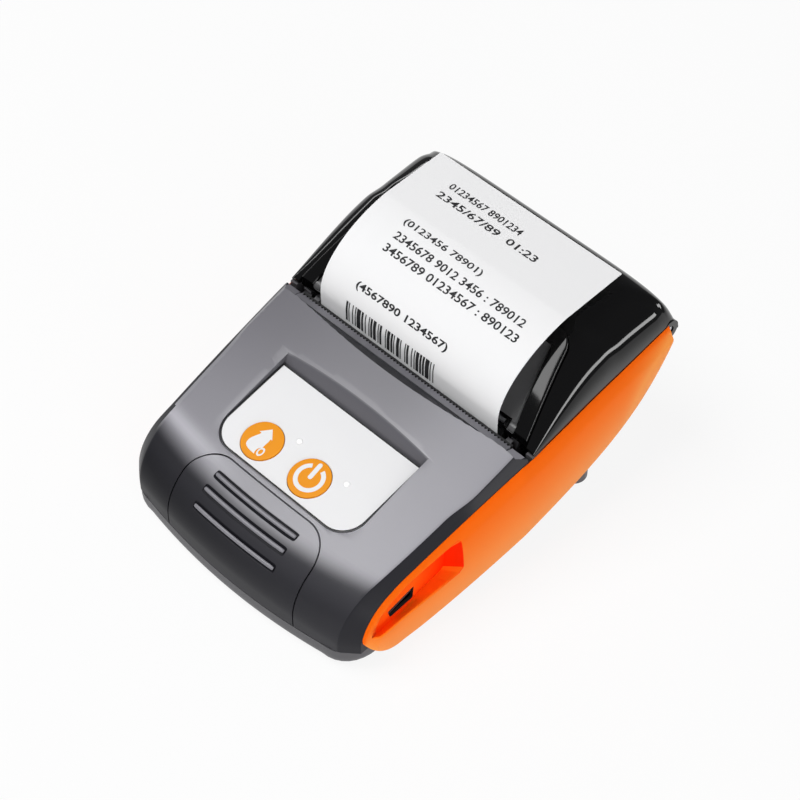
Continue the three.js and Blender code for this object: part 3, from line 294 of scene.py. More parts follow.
def boxSolid(name, low, high):
    # a box between two opposite corners
    outline = [(low[0], low[1]), (high[0], low[1]), (high[0], high[1]), (low[0], high[1])]
    return planSolid(name, outline, low[2], high[2])


def carve(piece, *tools, kind="DIFFERENCE"):
    # cuts, joins or intersects with the tools, one by one, and removes them
    for tool in tools:
        cut = piece.modifiers.new("carve", "BOOLEAN")
        cut.operation, cut.solver, cut.object = kind, "EXACT", tool
        graph = bpy.context.evaluated_depsgraph_get()
        mesh = bpy.data.meshes.new_from_object(piece.evaluated_get(graph))
        piece.modifiers.clear()
        old, piece.data = piece.data, mesh
        bpy.data.meshes.remove(old)
        bpy.data.objects.remove(tool)
    return piece


def chaikin(outline, times):
    # corner cutting: each corner is replaced by points a quarter of the way along its two sides
    for _ in range(times):
        after = np.roll(outline, -1, axis=0)
        pair = [0.75 * outline + 0.25 * after, 0.25 * outline + 0.75 * after]
        outline = np.stack(pair, axis=1).reshape(-1, 2)
    return outline


def finish(piece, material, body, *replaced, sharp=32, slot=None):
    # gives a piece its material, its sharp edges by angle and its body, and hides the nodes it replaces; the
    # slot is not used
    mesh = piece.data
    mesh.materials.clear()
    mesh.materials.append(material)
    mesh.polygons.foreach_set("material_index", np.zeros(len(mesh.polygons), dtype=np.int32))
    mesh.shade_smooth()
    mesh.set_sharp_from_angle(angle=math.radians(sharp))
    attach(piece, body)
    if replaced:
        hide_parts(*replaced)
    return piece


# Materials
def newGroup(name, inputs, outputs):
    # an empty node group with named sockets, and its input and output nodes
    group = bpy.data.node_groups.new(name, "ShaderNodeTree")
    for side, sockets in (("INPUT", inputs), ("OUTPUT", outputs)):
        for socket, kind in sockets.items():
            group.interface.new_socket(socket, in_out=side, socket_type="NodeSocket" + kind)
    return group, group.nodes.new("NodeGroupInput"), group.nodes.new("NodeGroupOutput")


def addNodes(tree, *kinds):
    # one shader node of each kind
    return [tree.nodes.new("ShaderNode" + kind) for kind in kinds]


def wire(tree, *pairs):
    # a link from each output to its input
    for output, socket in pairs:
        tree.links.new(output, socket)


grainLook = {"detail": 2, "broadScale": 60, "depth": 0.0001, "middle": 0.5}


def grainGroup():
    # moulding texture: a fine noise bends the normal, a broad one about its middle changes the roughness
    inputs = {"Size": "Float", "Strength": "Float", "Roughness": "Float", "Spread": "Float"}
    group, put, out = newGroup("mouldedGrain", inputs, {"Normal": "Vector", "Roughness": "Float"})
    place, fine, broad, bump, span, spread = addNodes(
        group, "TexCoord", "TexNoise", "TexNoise", "Bump", "Math", "Math")
    fine.inputs["Detail"].default_value = grainLook["detail"]
    broad.inputs["Scale"].default_value = grainLook["broadScale"]
    bump.inputs["Distance"].default_value = grainLook["depth"]
    span.operation, spread.operation = "SUBTRACT", "MULTIPLY_ADD"
    span.inputs[1].default_value = grainLook["middle"]
    wire(group,
         (place.outputs["Object"], fine.inputs["Vector"]), (place.outputs["Object"], broad.inputs["Vector"]),
         (put.outputs["Size"], fine.inputs["Scale"]), (put.outputs["Strength"], bump.inputs["Strength"]),
         (fine.outputs["Fac"], bump.inputs["Height"]), (bump.outputs["Normal"], out.inputs["Normal"]),
         (broad.outputs["Fac"], span.inputs[0]), (span.outputs[0], spread.inputs[0]),
         (put.outputs["Spread"], spread.inputs[1]), (put.outputs["Roughness"], spread.inputs[2]),
         (spread.outputs[0], out.inputs["Roughness"]))
    return group


def toneGroup():
    # painted light and shade: colour and gloss between a dark and a light end, by the painted tone of each
    # face corner
    inputs = {"Dark": "Color", "Light": "Color", "Dark Gloss": "Float", "Light Gloss": "Float"}
    group, put, out = newGroup("paintedLightAndShade", inputs, {"Color": "Color", "Gloss": "Float"})
    painted, mix, span = addNodes(group, "Attribute", "Mix", "MapRange")
    painted.attribute_name = "tone"
    mix.data_type = "RGBA"
    wire(group,
         (painted.outputs["Fac"], mix.inputs[0]), (painted.outputs["Fac"], span.inputs["Value"]),
         (put.outputs["Dark"], mix.inputs[6]), (put.outputs["Light"], mix.inputs[7]),
         (put.outputs["Dark Gloss"], span.inputs["To Min"]),
         (put.outputs["Light Gloss"], span.inputs["To Max"]),
         (mix.outputs[2], out.inputs["Color"]), (span.outputs["Result"], out.inputs["Gloss"]))
    return group


grain = grainGroup()
tone = toneGroup()


def makeMaterial(name, colour, rough, metal=0.0, size=900.0, strength=0.1, spread=0.04, **extra):
    # colour is linear; the grain group gives the normal and the roughness
    material = bpy.data.materials.new(name)
    material.use_nodes = True
    tree = material.node_tree
    shader, texture = tree.nodes["Principled BSDF"], tree.nodes.new("ShaderNodeGroup")
    texture.node_tree = grain
    for socket, value in (("Size", size), ("Strength", strength), ("Roughness", rough), ("Spread", spread)):
        texture.inputs[socket].default_value = value
    for socket in ("Normal", "Roughness"):
        wire(tree, (texture.outputs[socket], shader.inputs[socket]))
    for socket, value in {"Base Color": (*colour, 1), "Metallic": metal, **extra}.items():
        shader.inputs[socket.replace("_", " ")].default_value = value
    material.diffuse_color = (*colour, 1)
    return material


def mixPaintedLight(material, dark, light, darkGloss, lightGloss):
    # painted light and shade: the painted tone mixes the material's colour and its shine between two ends
    tree = material.node_tree
    shader, paint = tree.nodes["Principled BSDF"], tree.nodes.new("ShaderNodeGroup")
    paint.node_tree = tone
    for socket, value in (("Dark", (*dark, 1)), ("Light", (*light, 1)),
                          ("Dark Gloss", darkGloss), ("Light Gloss", lightGloss)):
        paint.inputs[socket].default_value = value
    wire(tree, (paint.outputs["Color"], shader.inputs["Base Color"]),
         (paint.outputs["Gloss"], shader.inputs["Specular IOR Level"]))


def readAll(items, key, width, kind=float):
    # an array of one property of all items
    values = np.empty(len(items) * width, dtype=kind)
    items.foreach_get(key, values)
    return values.reshape(-1, width) if width > 1 else values


def paintTone(piece, toneAt):
    # painted light and shade: one value for each face corner, from its place, its face's middle and its
    # face's normal, in millimetres
    mesh = piece.data
    sizes = readAll(mesh.polygons, "loop_total", 1, np.int32)
    place = readAll(mesh.vertices, "co", 3)[readAll(mesh.loops, "vertex_index", 1, np.int32)] * 1000
    middle = np.repeat(readAll(mesh.polygons, "center", 3) * 1000, sizes, axis=0)
    normal = np.repeat(readAll(mesh.polygons, "normal", 3), sizes, axis=0)
    values = toneAt(place, middle, normal)
    layer = mesh.attributes.new("tone", "FLOAT", "CORNER")
    layer.data.foreach_set("value", np.clip(values, 0, 1).astype(np.float32))
    return piece


# grey case: colour and shine mixed between a dark end for painted shade and a light end for painted light
greyPaint = makeMaterial("greyPaint", (0.2, 0.196, 0.218), 0.33, 0, 1500, 0.06, IOR=1.6)
mixPaintedLight(greyPaint, (0.011, 0.011, 0.014), (0.45, 0.441, 0.486), 0.05, 0.7)
darkPlastic = makeMaterial("darkPlastic", (0.085, 0.083, 0.09), 0.46, 0.2, 1500, 0.08)
# orange panels: the light end is a painted pale sheen towards the lower edge and the back
orangeShine = makeMaterial("orangeShine", (0.96, 0.13, 0.002), 0.45, 0, 1500, 0.04)
mixPaintedLight(orangeShine, (0.98, 0.135, 0.0), (0.97, 0.32, 0.055), 0.03, 0.1)
# orange in the charging recess: painted shade between a dark red and a lit orange end, and a faint glow that
# lifts the shaded walls
orangeRecessShadeGlow = makeMaterial("orangeRecessShadeGlow", (1.0, 0.05, 0.0), 0.5, 0, 1500, 0.03, Emission_Strength=0.15)
mixPaintedLight(orangeRecessShadeGlow, (0.84, 0.01, 0.0), (0.98, 0.24, 0.012), 0.03, 0.06)
orangeRecessShadeGlow.node_tree.nodes["Principled BSDF"].inputs["Emission Color"].default_value = (1.0, 0.06, 0.0, 1)
blackGloss = makeMaterial("blackGloss", (0.002, 0.002, 0.0022), 0.07, 0, 200, 0.0, 0.02,
                          Specular_IOR_Level=0.35)
leverSatin = makeMaterial("leverSatin", (0.1, 0.1, 0.102), 0.3, 0, 1500, 0.04)
labelWhite = makeMaterial("labelWhite", (0.79, 0.79, 0.797), 0.35, 0, 1200, 0.03)
amberFilm = makeMaterial("amberFilm", (0.85, 0.31, 0.012), 0.45, 0, 1200, 0.02, Specular_IOR_Level=0.12)
inkBlack = makeMaterial("inkBlack", (0.012, 0.012, 0.014), 0.7, 0, 1200, 0.02)
paperWhite = makeMaterial("paperWhite", (0.86, 0.86, 0.863), 0.75, 0, 700, 0.12)
tearGrey = makeMaterial("tearGrey", (0.17, 0.167, 0.185), 0.35, 0, 1500, 0.04)
steel = makeMaterial("steel", (0.6, 0.61, 0.63), 0.28, 1, 800, 0.03)
aluminium = makeMaterial("aluminium", (0.55, 0.57, 0.59), 0.4, 1, 800, 0.05)
rubber = makeMaterial("rubber", (0.012, 0.012, 0.013), 0.75, 0, 1800, 0.3)
boardGreen = makeMaterial("boardGreen", (0.012, 0.09, 0.03), 0.4, 0, 500, 0.08)
whitePlastic = makeMaterial("whitePlastic", (0.78, 0.78, 0.74), 0.4, 0, 1000, 0.05)
ceramic = makeMaterial("ceramic", (0.66, 0.62, 0.54), 0.3, 0, 1000, 0.03)
card = makeMaterial("card", (0.42, 0.25, 0.11), 0.8, 0, 400, 0.3)
cellWrap = makeMaterial("cellWrap", (0.03, 0.075, 0.2), 0.3, 0, 300, 0.1)
lensWhite = makeMaterial("lensWhite", (0.93, 0.93, 0.93), 0.3, 0, 400, 0.0, Emission_Strength=0.12)
print("materials made")

nodeMaterials = (
    (tearGrey, "tear_bar"), (labelWhite, "control_panel"), (lensWhite, "led_window_left led_window_right"),
    (amberFilm, "feed_button power_button"), (boardGreen, "main_board usb_board"), (cellWrap, "battery_pack"),
    (darkPlastic, "feed_switch power_switch buzzer usb_port mechanism_frame lower_case paper_bin"),
    (darkPlastic, "platen_bush_right platen_bush_left platen_gear"), (rubber, "platen_roller"),
    (whitePlastic, "battery_connector idler_gear motor_pinion"), (leverSatin, "release_lever"),
    (steel, "radio_module head_spring_right head_spring_left platen_shaft idler_post stepper_motor"),
    (steel, "lever_pin hinge_pin case_screw_1 case_screw_2 case_screw_3 case_screw_4"),
    (ceramic, "print_head"), (aluminium, "head_heat_sink"), (card, "roll_core"),
    (paperWhite, "paper_roll paper_web paper_strip"), (greyPaint, "upper_case battery_door"),
    (blackGloss, "platen_carrier_right platen_carrier_left paper_cover"),
    (orangeShine, "side_panel_right side_panel_left"),
)
cadSharp = 28
for material, names in nodeMaterials:
    for name in names.split():
        nodes[name].data.materials.clear()
        nodes[name].data.materials.append(material)
        nodes[name].data.set_sharp_from_angle(angle=math.radians(cadSharp))


# Stage
stage = {"radius": 20, "sides": 128, "level": -0.00002, "white": 0.86, "rough": 0.9, "glow": 0.88,
         "sky": (0.19, 0.19, 0.195), "aim": (0, 0, 20)}


def makeStage():
    # a white disc that glows to the camera and in reflections, and is clear from below
    mesh = bpy.data.meshes.new("floor")
    rim = atLevel(circle(0, 0, stage["radius"], stage["sides"]), stage["level"])
    mesh.from_pydata(rim.tolist(), [], [list(range(stage["sides"]))])
    floor = addObject("floor", mesh)
    material = bpy.data.materials.new("floorWhite")
    material.use_nodes = True
    tree = material.node_tree
    shader, surface = tree.nodes["Principled BSDF"], tree.nodes["Material Output"].inputs["Surface"]
    shader.inputs["Base Color"].default_value = (stage["white"], stage["white"], stage["white"], 1)
    shader.inputs["Roughness"].default_value = stage["rough"]
    glow, mix, clear, under, path, side, seen, either, share = addNodes(
        tree, "Emission", "MixShader", "BsdfTransparent", "MixShader", "LightPath", "NewGeometry",
        "Math", "Math", "Math")
    glow.inputs["Color"].default_value = (1, 1, 1, 1)
    seen.operation = either.operation = "MAXIMUM"
    share.operation = "MULTIPLY"
    share.inputs[1].default_value = stage["glow"]
    wire(tree,
         (path.outputs["Is Camera Ray"], seen.inputs[0]), (path.outputs["Is Glossy Ray"], seen.inputs[1]),
         (seen.outputs[0], either.inputs[0]), (path.outputs["Is Transmission Ray"], either.inputs[1]),
         (either.outputs[0], share.inputs[0]), (share.outputs[0], mix.inputs[0]),
         (shader.outputs[0], mix.inputs[1]), (glow.outputs[0], mix.inputs[2]),
         (side.outputs["Backfacing"], under.inputs[0]), (mix.outputs[0], under.inputs[1]),
         (clear.outputs[0], under.inputs[2]), (under.outputs[0], surface))
    mesh.materials.append(material)


def makeLamp(name, direction, distance, size, power, along, seen):
    # a rectangle of size width by length, its length along the given direction
    data = bpy.data.lights.new(name, "AREA")
    data.shape, data.size, data.size_y, data.energy = "RECTANGLE", size[0], size[1], power
    lamp = addObject(name, data)
    back = Vector(direction).normalized()
    side = Vector(along).cross(back).normalized()
    setFrame(lamp, side, back.cross(side), back, Vector(stage["aim"]) * 0.001 + back * distance)
    lamp.visible_glossy, lamp.visible_diffuse = seen


lamps = {  # direction, distance, size, power, length along, seen in gloss and on matt surfaces
    "overhead": ((-0.34, -0.28, 0.90), 1.0, (0.62, 0.62), 7.6, (0, 1, 0), (True, True)),
    "rightStrip": ((0.87, 0.28, 0.40), 1.0, (0.2, 1.3), 9.0, (0, 1, 0.1), (True, False)),
    "leftStrip": ((-0.924, 0.222, 0.31), 1.0, (0.05, 1.3), 1.2, (0, 1, 0.1), (True, False)),
    "rightFill": ((0.93, -0.35, 0.12), 1.2, (0.9, 0.5), 5.7, (0, 0, 1), (True, True)),
    "upperFill": ((0.72, -0.38, 0.58), 1.3, (0.9, 0.9), 3.6, (0, 0, 1), (False, True)),
}


def makeSky():
    # the sky lights with a grey and shows white to the camera
    scene = bpy.context.scene
    scene.world = scene.world or bpy.data.worlds.new("world")
    scene.world.use_nodes = True
    tree = scene.world.node_tree
    sky, (level, path) = tree.nodes["Background"], addNodes(tree, "Mix", "LightPath")
    level.data_type = "RGBA"
    level.inputs["A"].default_value, level.inputs["B"].default_value = (*stage["sky"], 1), (1, 1, 1, 1)
    wire(tree, (path.outputs["Is Camera Ray"], level.inputs["Factor"]),
         (level.outputs["Result"], sky.inputs["Color"]))
    sky.inputs["Strength"].default_value = 1
    scene.view_settings.view_transform = "Standard"


makeStage()
for name, lamp in lamps.items():
    makeLamp(name, *lamp)
makeSky()
print("stage made")

# Control panel plane
plate = {"half": 22.3, "front": 38.1, "back": 13.8, "low": 23.7989, "slope": 0.187, "corner": 6.5,
         "thick": 0.8, "floor": 1.5, "trayTop": 2.0, "counts": (12, 14, 10, 24),
         "rim": ((0, 0.28, 0), (0.5, 0.28, 0), (1, 0.28, 0), (1, 0.12, 0.03), (1, 0.03, 0.12),
                 (1, -0.015, 0.27), (1, -0.3, 0.9), (1, -2.5, 1.4))}
plateAngle = math.atan(plate["slope"])
plateCos, plateSin = math.cos(plateAngle), math.sin(plateAngle)
plateLength = (plate["front"] - plate["back"]) / plateCos


def onPlate(points):
    # plate coordinates (across, back from the front edge, above the plate) into the row frame
    u, v, w = np.moveaxis(np.asarray(points, float), -1, 0)
    y, z = v * plateCos - w * plateSin - plate["front"], v * plateSin + w * plateCos + plate["low"]
    return np.stack([u, y, z], axis=-1)


def overPlate(y, z):
    # the same turned back: how far behind the plate's front edge and above the plate
    behind, above = y + plate["front"], z - plate["low"]
    return behind * plateCos + above * plateSin, above * plateCos - behind * plateSin


def layOnPlate(piece):
    # a piece drawn in plate coordinates, moved onto the plate
    points = readAll(piece.data.vertices, "co", 3) * 1000
    piece.data.vertices.foreach_set("co", (onPlate(points) * 0.001).ravel())
    piece.data.update()
    return piece


def plateOutline(grow):
    # rounded front corners, straight sides and back, all moved out by grow
    half, corner, back = plate["half"] + grow, plate["corner"] + grow, plateLength + grow
    cornerCount, frontCount, sideCount, backCount = plate["counts"]
    turn = np.linspace(math.pi, 1.5 * math.pi, cornerCount)
    left = arcPoints(corner - half, corner - grow, corner, turn)
    right = left[::-1] * [-1, 1]
    front = np.linspace(left[-1, 0], right[0, 0], frontCount)[1:-1]
    sideShare, backShare = np.linspace(0, 1, sideCount)[1:], np.linspace(0, 1, backCount)[1:]
    up = np.column_stack([np.full(len(sideShare), half), corner - grow + (back - corner + grow) * sideShare])
    across = half - 2 * half * backShare
    down = up[::-1][1:] * [-1, 1]
    return np.vstack([left, lineAt(front, -grow), right, up, lineAt(across, back), down])


def caseAbove(u, v):
    # height of the case's top over the plate plane, along the plane's normal
    behind = v * plateCos - plate["front"] - bow(u)
    rise = case["crownHeight"] - plate["low"] + case["topSlope"] * behind - crown(u)
    return (rise - v * plateSin) / (plateCos + case["topSlope"] * plateSin)


def recessCutter():
    # rings from the floor up to the case's surface, then flared into a rounded rim; the back wall leans
    gap, rings = case["gap"], []
    for share, drop, flare in plate["rim"]:
        outline = plateOutline(gap + flare)
        height = (caseAbove(outline[:, 0], outline[:, 1]) - drop + plate["thick"]) * share - plate["thick"]
        lean = np.where(outline[:, 1] >= plateLength + gap + flare - 1e-6, np.maximum(height, 0), 0)
        rings.append(np.column_stack([outline[:, 0], outline[:, 1] + lean, height]))
    return loftSolid("recessCutter", [onPlate(ring) for ring in rings])


# Battery door line
door = {"half": 20.6, "rise": 10.9, "corner": 8.0, "gap": 0.36, "gripHalf": 12.7, "gripAngles": (16, 33, 52),
        "groove": (1.25, 0.3), "ridge": (0.5, 0.42), "draw": (13.75, 82.5), "blunt": 10, "least": 0.0009}
rootHalf = math.sqrt(0.5)


def doorPrism(grow):
    # rounded outline in the plane across the pull direction, drawn out along it
    half, corner = door["half"] + grow, door["corner"] + grow
    top = (noseBack + case["noseHeight"]) * rootHalf + door["rise"] + grow
    bend = arcPoints(half - corner, top - corner, corner, quarterTurn(14))
    outline = mirrored(np.vstack([[half, -case["noseReach"]], bend]))
    rings = [np.column_stack([outline[:, 0], (outline[:, 1] - d) * rootHalf, (outline[:, 1] + d) * rootHalf])
             for d in door["draw"]]
    return loftSolid("doorPrism", rings)


# Grey upper shell
def caseSolid(name, inset, back, foot):
    # the case's form down to a foot level, moved in by the inset
    return loftSolid(name, caseRings(inset, back, foot), ladder=True)


# Charging recess: the same twelve corners at the flank and at its inner wall, y and z
recess = {"mouth": [(-38.5, 9.6), (-31.3, 10.0), (-30.9, 14.0), (-39.3, 12.2)], "inner": 36.6, "wall": 0.8,
          "clear": 1.1, "mouthDepth": (33, 38), "sunk": 0.6,
          "rim": ((-0.3, 0), (-0.105, 0.075), (-0.02, 0.24), (0.15, 0.48), (6, 0.6)),
          "outerCorners": [(-45.8, 10.6), (-44.1, 10.4), (-32.3, 11.2), (-20.6, 12.3), (-19.1, 13.4),
                           (-19.15, 21.9), (-19.55, 22.3), (-29.9, 20.3), (-34.1, 19.3), (-39.4, 17.6),
                           (-43.3, 15.4), (-45.4, 12.8)],
          "innerCorners": [(-42.9, 7.9), (-42.0, 7.4), (-32.3, 9.4), (-22.2, 11.4), (-21.3, 12.1),
                           (-21.1, 17.6), (-21.7, 18.2), (-30.0, 17.2), (-34.0, 16.6), (-38.6, 15.0),
                           (-41.5, 12.6), (-42.9, 10.0)]}


def recessLoop(corners, grow):
    # corners with points along each side, cut round and moved outward along their normals
    corners = np.array(corners)
    after = np.roll(corners, -1, axis=0)
    loop = np.concatenate([corners + (after - corners) * k for k in (0.0, 0.25, 0.5, 0.75)], axis=1)
    loop = chaikin(loop.reshape(-1, 2), 2)
    along = np.roll(loop, -1, axis=0) - np.roll(loop, 1, axis=0)
    normal = np.column_stack([along[:, 1], -along[:, 0]]) / np.linalg.norm(along, axis=1)[:, None]
    return loop + normal * grow


def recessRing(x, share, grow):
    # share 0 is the inner wall's outline, 1 the flank's
    inner, outer = (recessLoop(recess[k], grow) for k in ("innerCorners", "outerCorners"))
    loop = inner + (outer - inner) * share
    return np.column_stack([np.broadcast_to(x, len(loop)), loop])


# Painted light and shade of the grey case, as shares of its light end. A ramp is its start and length, a
# range its ends.
greyPaintedLight = {"back": 0.354, "backRight": 0.236, "rightRamp": (2, 34), "front": 0.518, "frontSides": 0.00008,
            "frontRight": 0.0013, "frontRamp": (0, 40), "bendRamp": (11, 25), "bendSides": 0.006,
            "bendRight": 0.06, "glow": 0.75, "glowBend": 6, "glowSpan": 8, "glowRamp": (2, 26), "nose": 0.04,
            "noseRight": 0.0008, "noseFrom": 20, "underNose": 0.9, "underRamp": (38, 30), "bevel": 0.028,
            "bevelReach": 0.01, "leftReach": 1.2, "crescent": 0.045, "crescentRange": (-12, 1.0),
            "crescentTilt": 0.1, "recess": 0.24, "recessReach": 0.6, "recessBack": 5.5,
            "recessDepth": (-1.2, 0.12), "ridge": 0.47, "ridgeBend": (8, 62), "ridgeProud": 0.06,
            "ridgeReach": 1, "grooveDepth": 0.05}


def greyPaintedLightAt(place, middle, normal):
    # painted light and shade: top lighter to the right and to the front, a painted highlight band at the
    # nose's turn on the left, painted shade round the nose and on the bevels, a plain painted shade in the
    # recess
    x, y, z = place.T
    ahead, over = noseBack + bow(x) - y, z - case["noseHeight"] + crown(x)
    straight = np.degrees(np.arctan2(ahead, over))
    bend = straight + greyPaintedLight["bendSides"] * x ** 2 + greyPaintedLight["bendRight"] * x
    behind = greyPaintedLight["back"] + greyPaintedLight["backRight"] * ramp(x, *greyPaintedLight["rightRamp"])
    front = greyPaintedLight["front"] + greyPaintedLight["frontSides"] * x ** 2 + greyPaintedLight["frontRight"] * x
    top = behind + (front - behind) * ramp(-y, *greyPaintedLight["frontRamp"])
    # painted highlight: a band along the turn from the top to the nose, strongest on the left
    glow = greyPaintedLight["glow"] * ramp(-x, *greyPaintedLight["glowRamp"])
    top = top * (1 + glow * np.exp(-((straight - greyPaintedLight["glowBend"]) / greyPaintedLight["glowSpan"]) ** 2))
    # painted shade round the nose, darker further under it
    nose = greyPaintedLight["nose"] * (1 - greyPaintedLight["underNose"] * ramp(bend, *greyPaintedLight["underRamp"]))
    nose = nose + greyPaintedLight["noseRight"] * (x + greyPaintedLight["noseFrom"])
    values = nose + (top - nose) * (1 - ramp(bend, *greyPaintedLight["bendRamp"]))
    mx, my, mz = middle.T
    # painted shade on the bevels past the crease, reaching further in on the left
    edge = creaseLine(my) + greyPaintedLight["bevelReach"] + greyPaintedLight["leftReach"] * (mx < 0)
    values = np.where(np.abs(mx) > edge, greyPaintedLight["bevel"], values)
    # painted shade on the crescent facet that leans back
    low, high = greyPaintedLight["crescentRange"]
    crescent = (normal[:, 1] > greyPaintedLight["crescentTilt"]) & (my > low) & (my < high)
    values = np.where(crescent, greyPaintedLight["crescent"], values)
    # painted shade on the walls of the label's recess
    v, w = overPlate(my, mz)
    reach = case["gap"] + greyPaintedLight["recessReach"]
    inside = (np.abs(mx) < plate["half"] + reach) & (v > -reach) & (v < plateLength + greyPaintedLight["recessBack"])
    low, depth = greyPaintedLight["recessDepth"]
    values = np.where(inside & (w < caseAbove(mx, v) - depth) & (w > low), greyPaintedLight["recess"], values)
    # the door's ridges painted light and their grooves painted dark
    proud = np.hypot(ahead, over) - case["noseRadius"]
    low, high = greyPaintedLight["ridgeBend"]
    onDoor = (np.abs(x) < door["gripHalf"] + greyPaintedLight["ridgeReach"]) & (bend > low) & (bend < high)
    values = np.where(onDoor & (proud > greyPaintedLight["ridgeProud"]), greyPaintedLight["ridge"], values)
    return np.where(onDoor & (proud < -greyPaintedLight["grooveDepth"]), 0, values)


def skinSolid(name, back):
    # the case's form with its hollow taken out
    shell = caseSolid(name, 0, back, case["seam"])
    return carve(shell, caseSolid("hollow", case["wall"], back + 1, case["seam"] - 1))


def crownCutter(ahead, behind, seatLine):
    # what lies above the cut plane, and ahead of the seat above a line leaned over twice the crescent's depth
    rings, top = [], case["cutTop"]
    for x in np.linspace(-case["cutHalf"], case["cutHalf"], case["cutCount"]):
        depth = np.clip(1 - (x / case["crescentHalf"]) ** 2, case["crescentLeast"], 1)
        start = seatLine - case["crescent"] * depth
        crest = case["crownHeight"] + case["topSlope"] * start - crown(x)
        over = 2 * (np.array([start, crest]) - [seatLine, chamferAt(seatLine)])
        rings.append([(x, behind, chamferAt(behind)), (x, seatLine, chamferAt(seatLine)),
                      (x, seatLine + over[0], chamferAt(seatLine) + over[1]),
                      (x, ahead, top), (x, behind, top)])
    return loftSolid("crownCut", rings)


def upperShell():
    # the skin with the label's tray and a lip joined on, then cut by crown, seat, recesses and door
    back, gap, reach = case["tearLine"] - case["gap"], case["gap"], case["cutHalf"]
    shell = skinSolid("greyShell", back)
    tray = layOnPlate(planSolid("tray", plateOutline(gap + plate["floor"]), -plate["thick"] - plate["floor"],
                                plate["trayTop"]))
    lip = boxSolid("lip", (-case["sideBack"], back - case["lipReach"], case["lipFoot"]),
                   (case["sideBack"], back, case["crownHeight"]))
    for added in (tray, lip):
        carve(added, caseSolid("inside", case["wall"] / 2, back, case["seam"]), kind="INTERSECT")
    carve(shell, tray, lip, kind="UNION")
    behind, seatLine = case["tearLine"] + 1, case["tearLine"] - case["tearDepth"] - gap
    crownCut = crownCutter(case["tearLine"] - case["cutAhead"], behind, seatLine)
    seat = sideSolid("seat", [(seatLine, chamferAt(seatLine) - case["seatDepth"]),
                              (behind, chamferAt(behind) - case["seatDepth"]),
                              (behind, case["seatTop"]), (seatLine, case["seatTop"])],
                     -case["seatHalf"], case["seatHalf"])
    (near, far), clear = case["sideCut"], recess["clear"]
    side = loftSolid("side", [recessRing(near, 0, clear), recessRing(recess["inner"], 0, clear),
                              recessRing(far, 1, clear), recessRing(reach, 1, clear)])
    carve(shell, crownCut, seat, recessCutter(), doorPrism(door["gap"]), side)
    # painted light and shade of the grey case
    paintTone(shell, greyPaintedLightAt)
    return finish(shell, greyPaint, "base", "upper_case", sharp=30, slot="grey_plastic")


upperShell()
print("upper shell made")


# Battery door
def doorShell():
    # the part of the case skin inside the door's outline, with three long ridges
    shell = carve(skinSolid("doorSkin", case["tearLine"] - case["gap"]), doorPrism(0), kind="INTERSECT")
    for degrees in door["gripAngles"]:
        carve(shell, gripBar(degrees, *door["groove"]))
        carve(shell, gripBar(degrees, *door["ridge"]), kind="UNION")
    # painted light and shade of the grey case, with light ridges and dark grooves
    paintTone(shell, greyPaintedLightAt)
    return finish(shell, greyPaint, "door", "battery_door", sharp=30, slot="grey_plastic")


def gripBar(degrees, halfWidth, halfHeight):
    # bar along X of elliptic section that follows the bow, blunt at its ends
    turn = math.radians(degrees)
    out = np.array([0, -math.sin(turn), math.cos(turn)])
    along = np.array([0, -math.cos(turn), -math.sin(turn)])
    place = np.linspace(-1, 1, 41)
    x = (door["gripHalf"] + halfWidth / 2) * np.sin(place * math.pi / 2)
    taper = np.sqrt(np.clip(1 - place ** door["blunt"], door["least"], 1))
    angle = np.linspace(0, 2 * math.pi, 24, endpoint=False)
    centre = np.column_stack([x, noseBack + out[1] * case["noseRadius"] + bow(x),
                              case["noseHeight"] + out[2] * case["noseRadius"] - crown(x)])
    wide = halfWidth * taper[:, None, None] * np.cos(angle)[None, :, None] * along
    tall = halfHeight * taper[:, None, None] * np.sin(angle)[None, :, None] * out
    return loftSolid("bar", centre[:, None, :] + wide + tall)


doorShell()
print("battery door made")


# Lower shell
def tailAt(z):
    # the back end sweeps in towards the floor by a power of the height
    share = np.clip(z / case["tailHeight"], 0, None)
    return case["tailReach"] - case["tailSweep"] * (1 - share ** case["tailPower"])


# Lower edge of the side panels behind the nose
sweep = {"start": -33, "length": 84.4, "low": 0.6, "rise": (17, 1.5), "tail": (14.5, 8)}


def sweepAt(y):
    # two powers of the way back lift the edge to the hinge
    way = np.clip((y - sweep["start"]) / sweep["length"], 0, None)
    (rise, risePower), (tail, tailPower) = sweep["rise"], sweep["tail"]
    return sweep["low"] + rise * way ** risePower + tail * way ** tailPower


# The lower shell's sides draw in under the side panels' lower edge, and stay clear of the paper bin
tuck = {"lean": 0.6, "free": 1.2, "most": 6.3, "bin": 2.1, "binLow": 9.8, "binLean": 1.2}


def tuckAt(y, z):
    # a share of the depth below the panel's edge, held back at the height of the bin
    most = np.minimum(tuck["most"], tuck["bin"] + tuck["binLean"] * max(0, tuck["binLow"] - z))
    return np.clip(tuck["lean"] * (sweepAt(y) - z) - tuck["free"], 0, most)


# Screws are x, y and the height of their post. Levels are shares of the height.
lower = {"footRound": 1.4, "footHeight": 3, "cornerIn": 5, "shoulder": 0.8 * 3.6, "cornerLength": 5,
         "cornerPower": 0.9, "tailCorner": 2.0, "sideFrom": -20, "top": 39.1973, "seamGap": 0.3,
         "rearFrom": 47.4, "rearTop": 31.9973, "cutEnds": (-56, 58), "cutTop": 41.2,
         "post": 3.4, "foot": 3.45, "footTop": 11.5, "bore": 1.7, "head": 2.9, "headDepth": 2.1,
         "screws": ((31, -15, 7.8), (-31, -15, 7.8), (34, 27, 19.4973), (-34, 27, 19.4973)),
         "lugs": (33, -33), "lugHalf": 1.75, "lugLow": (49, 28.3973), "lugHigh": (54.1, 34.9973), "eye": 2.4,
         "pin": 1.4,
         "levels": (0, 0.006, 0.014, 0.024, 0.036, 0.05, 0.075, 0.1, 0.16, 0.22, 0.3, 0.4, 0.52, 0.65, 0.78,
                    0.9, 1)}


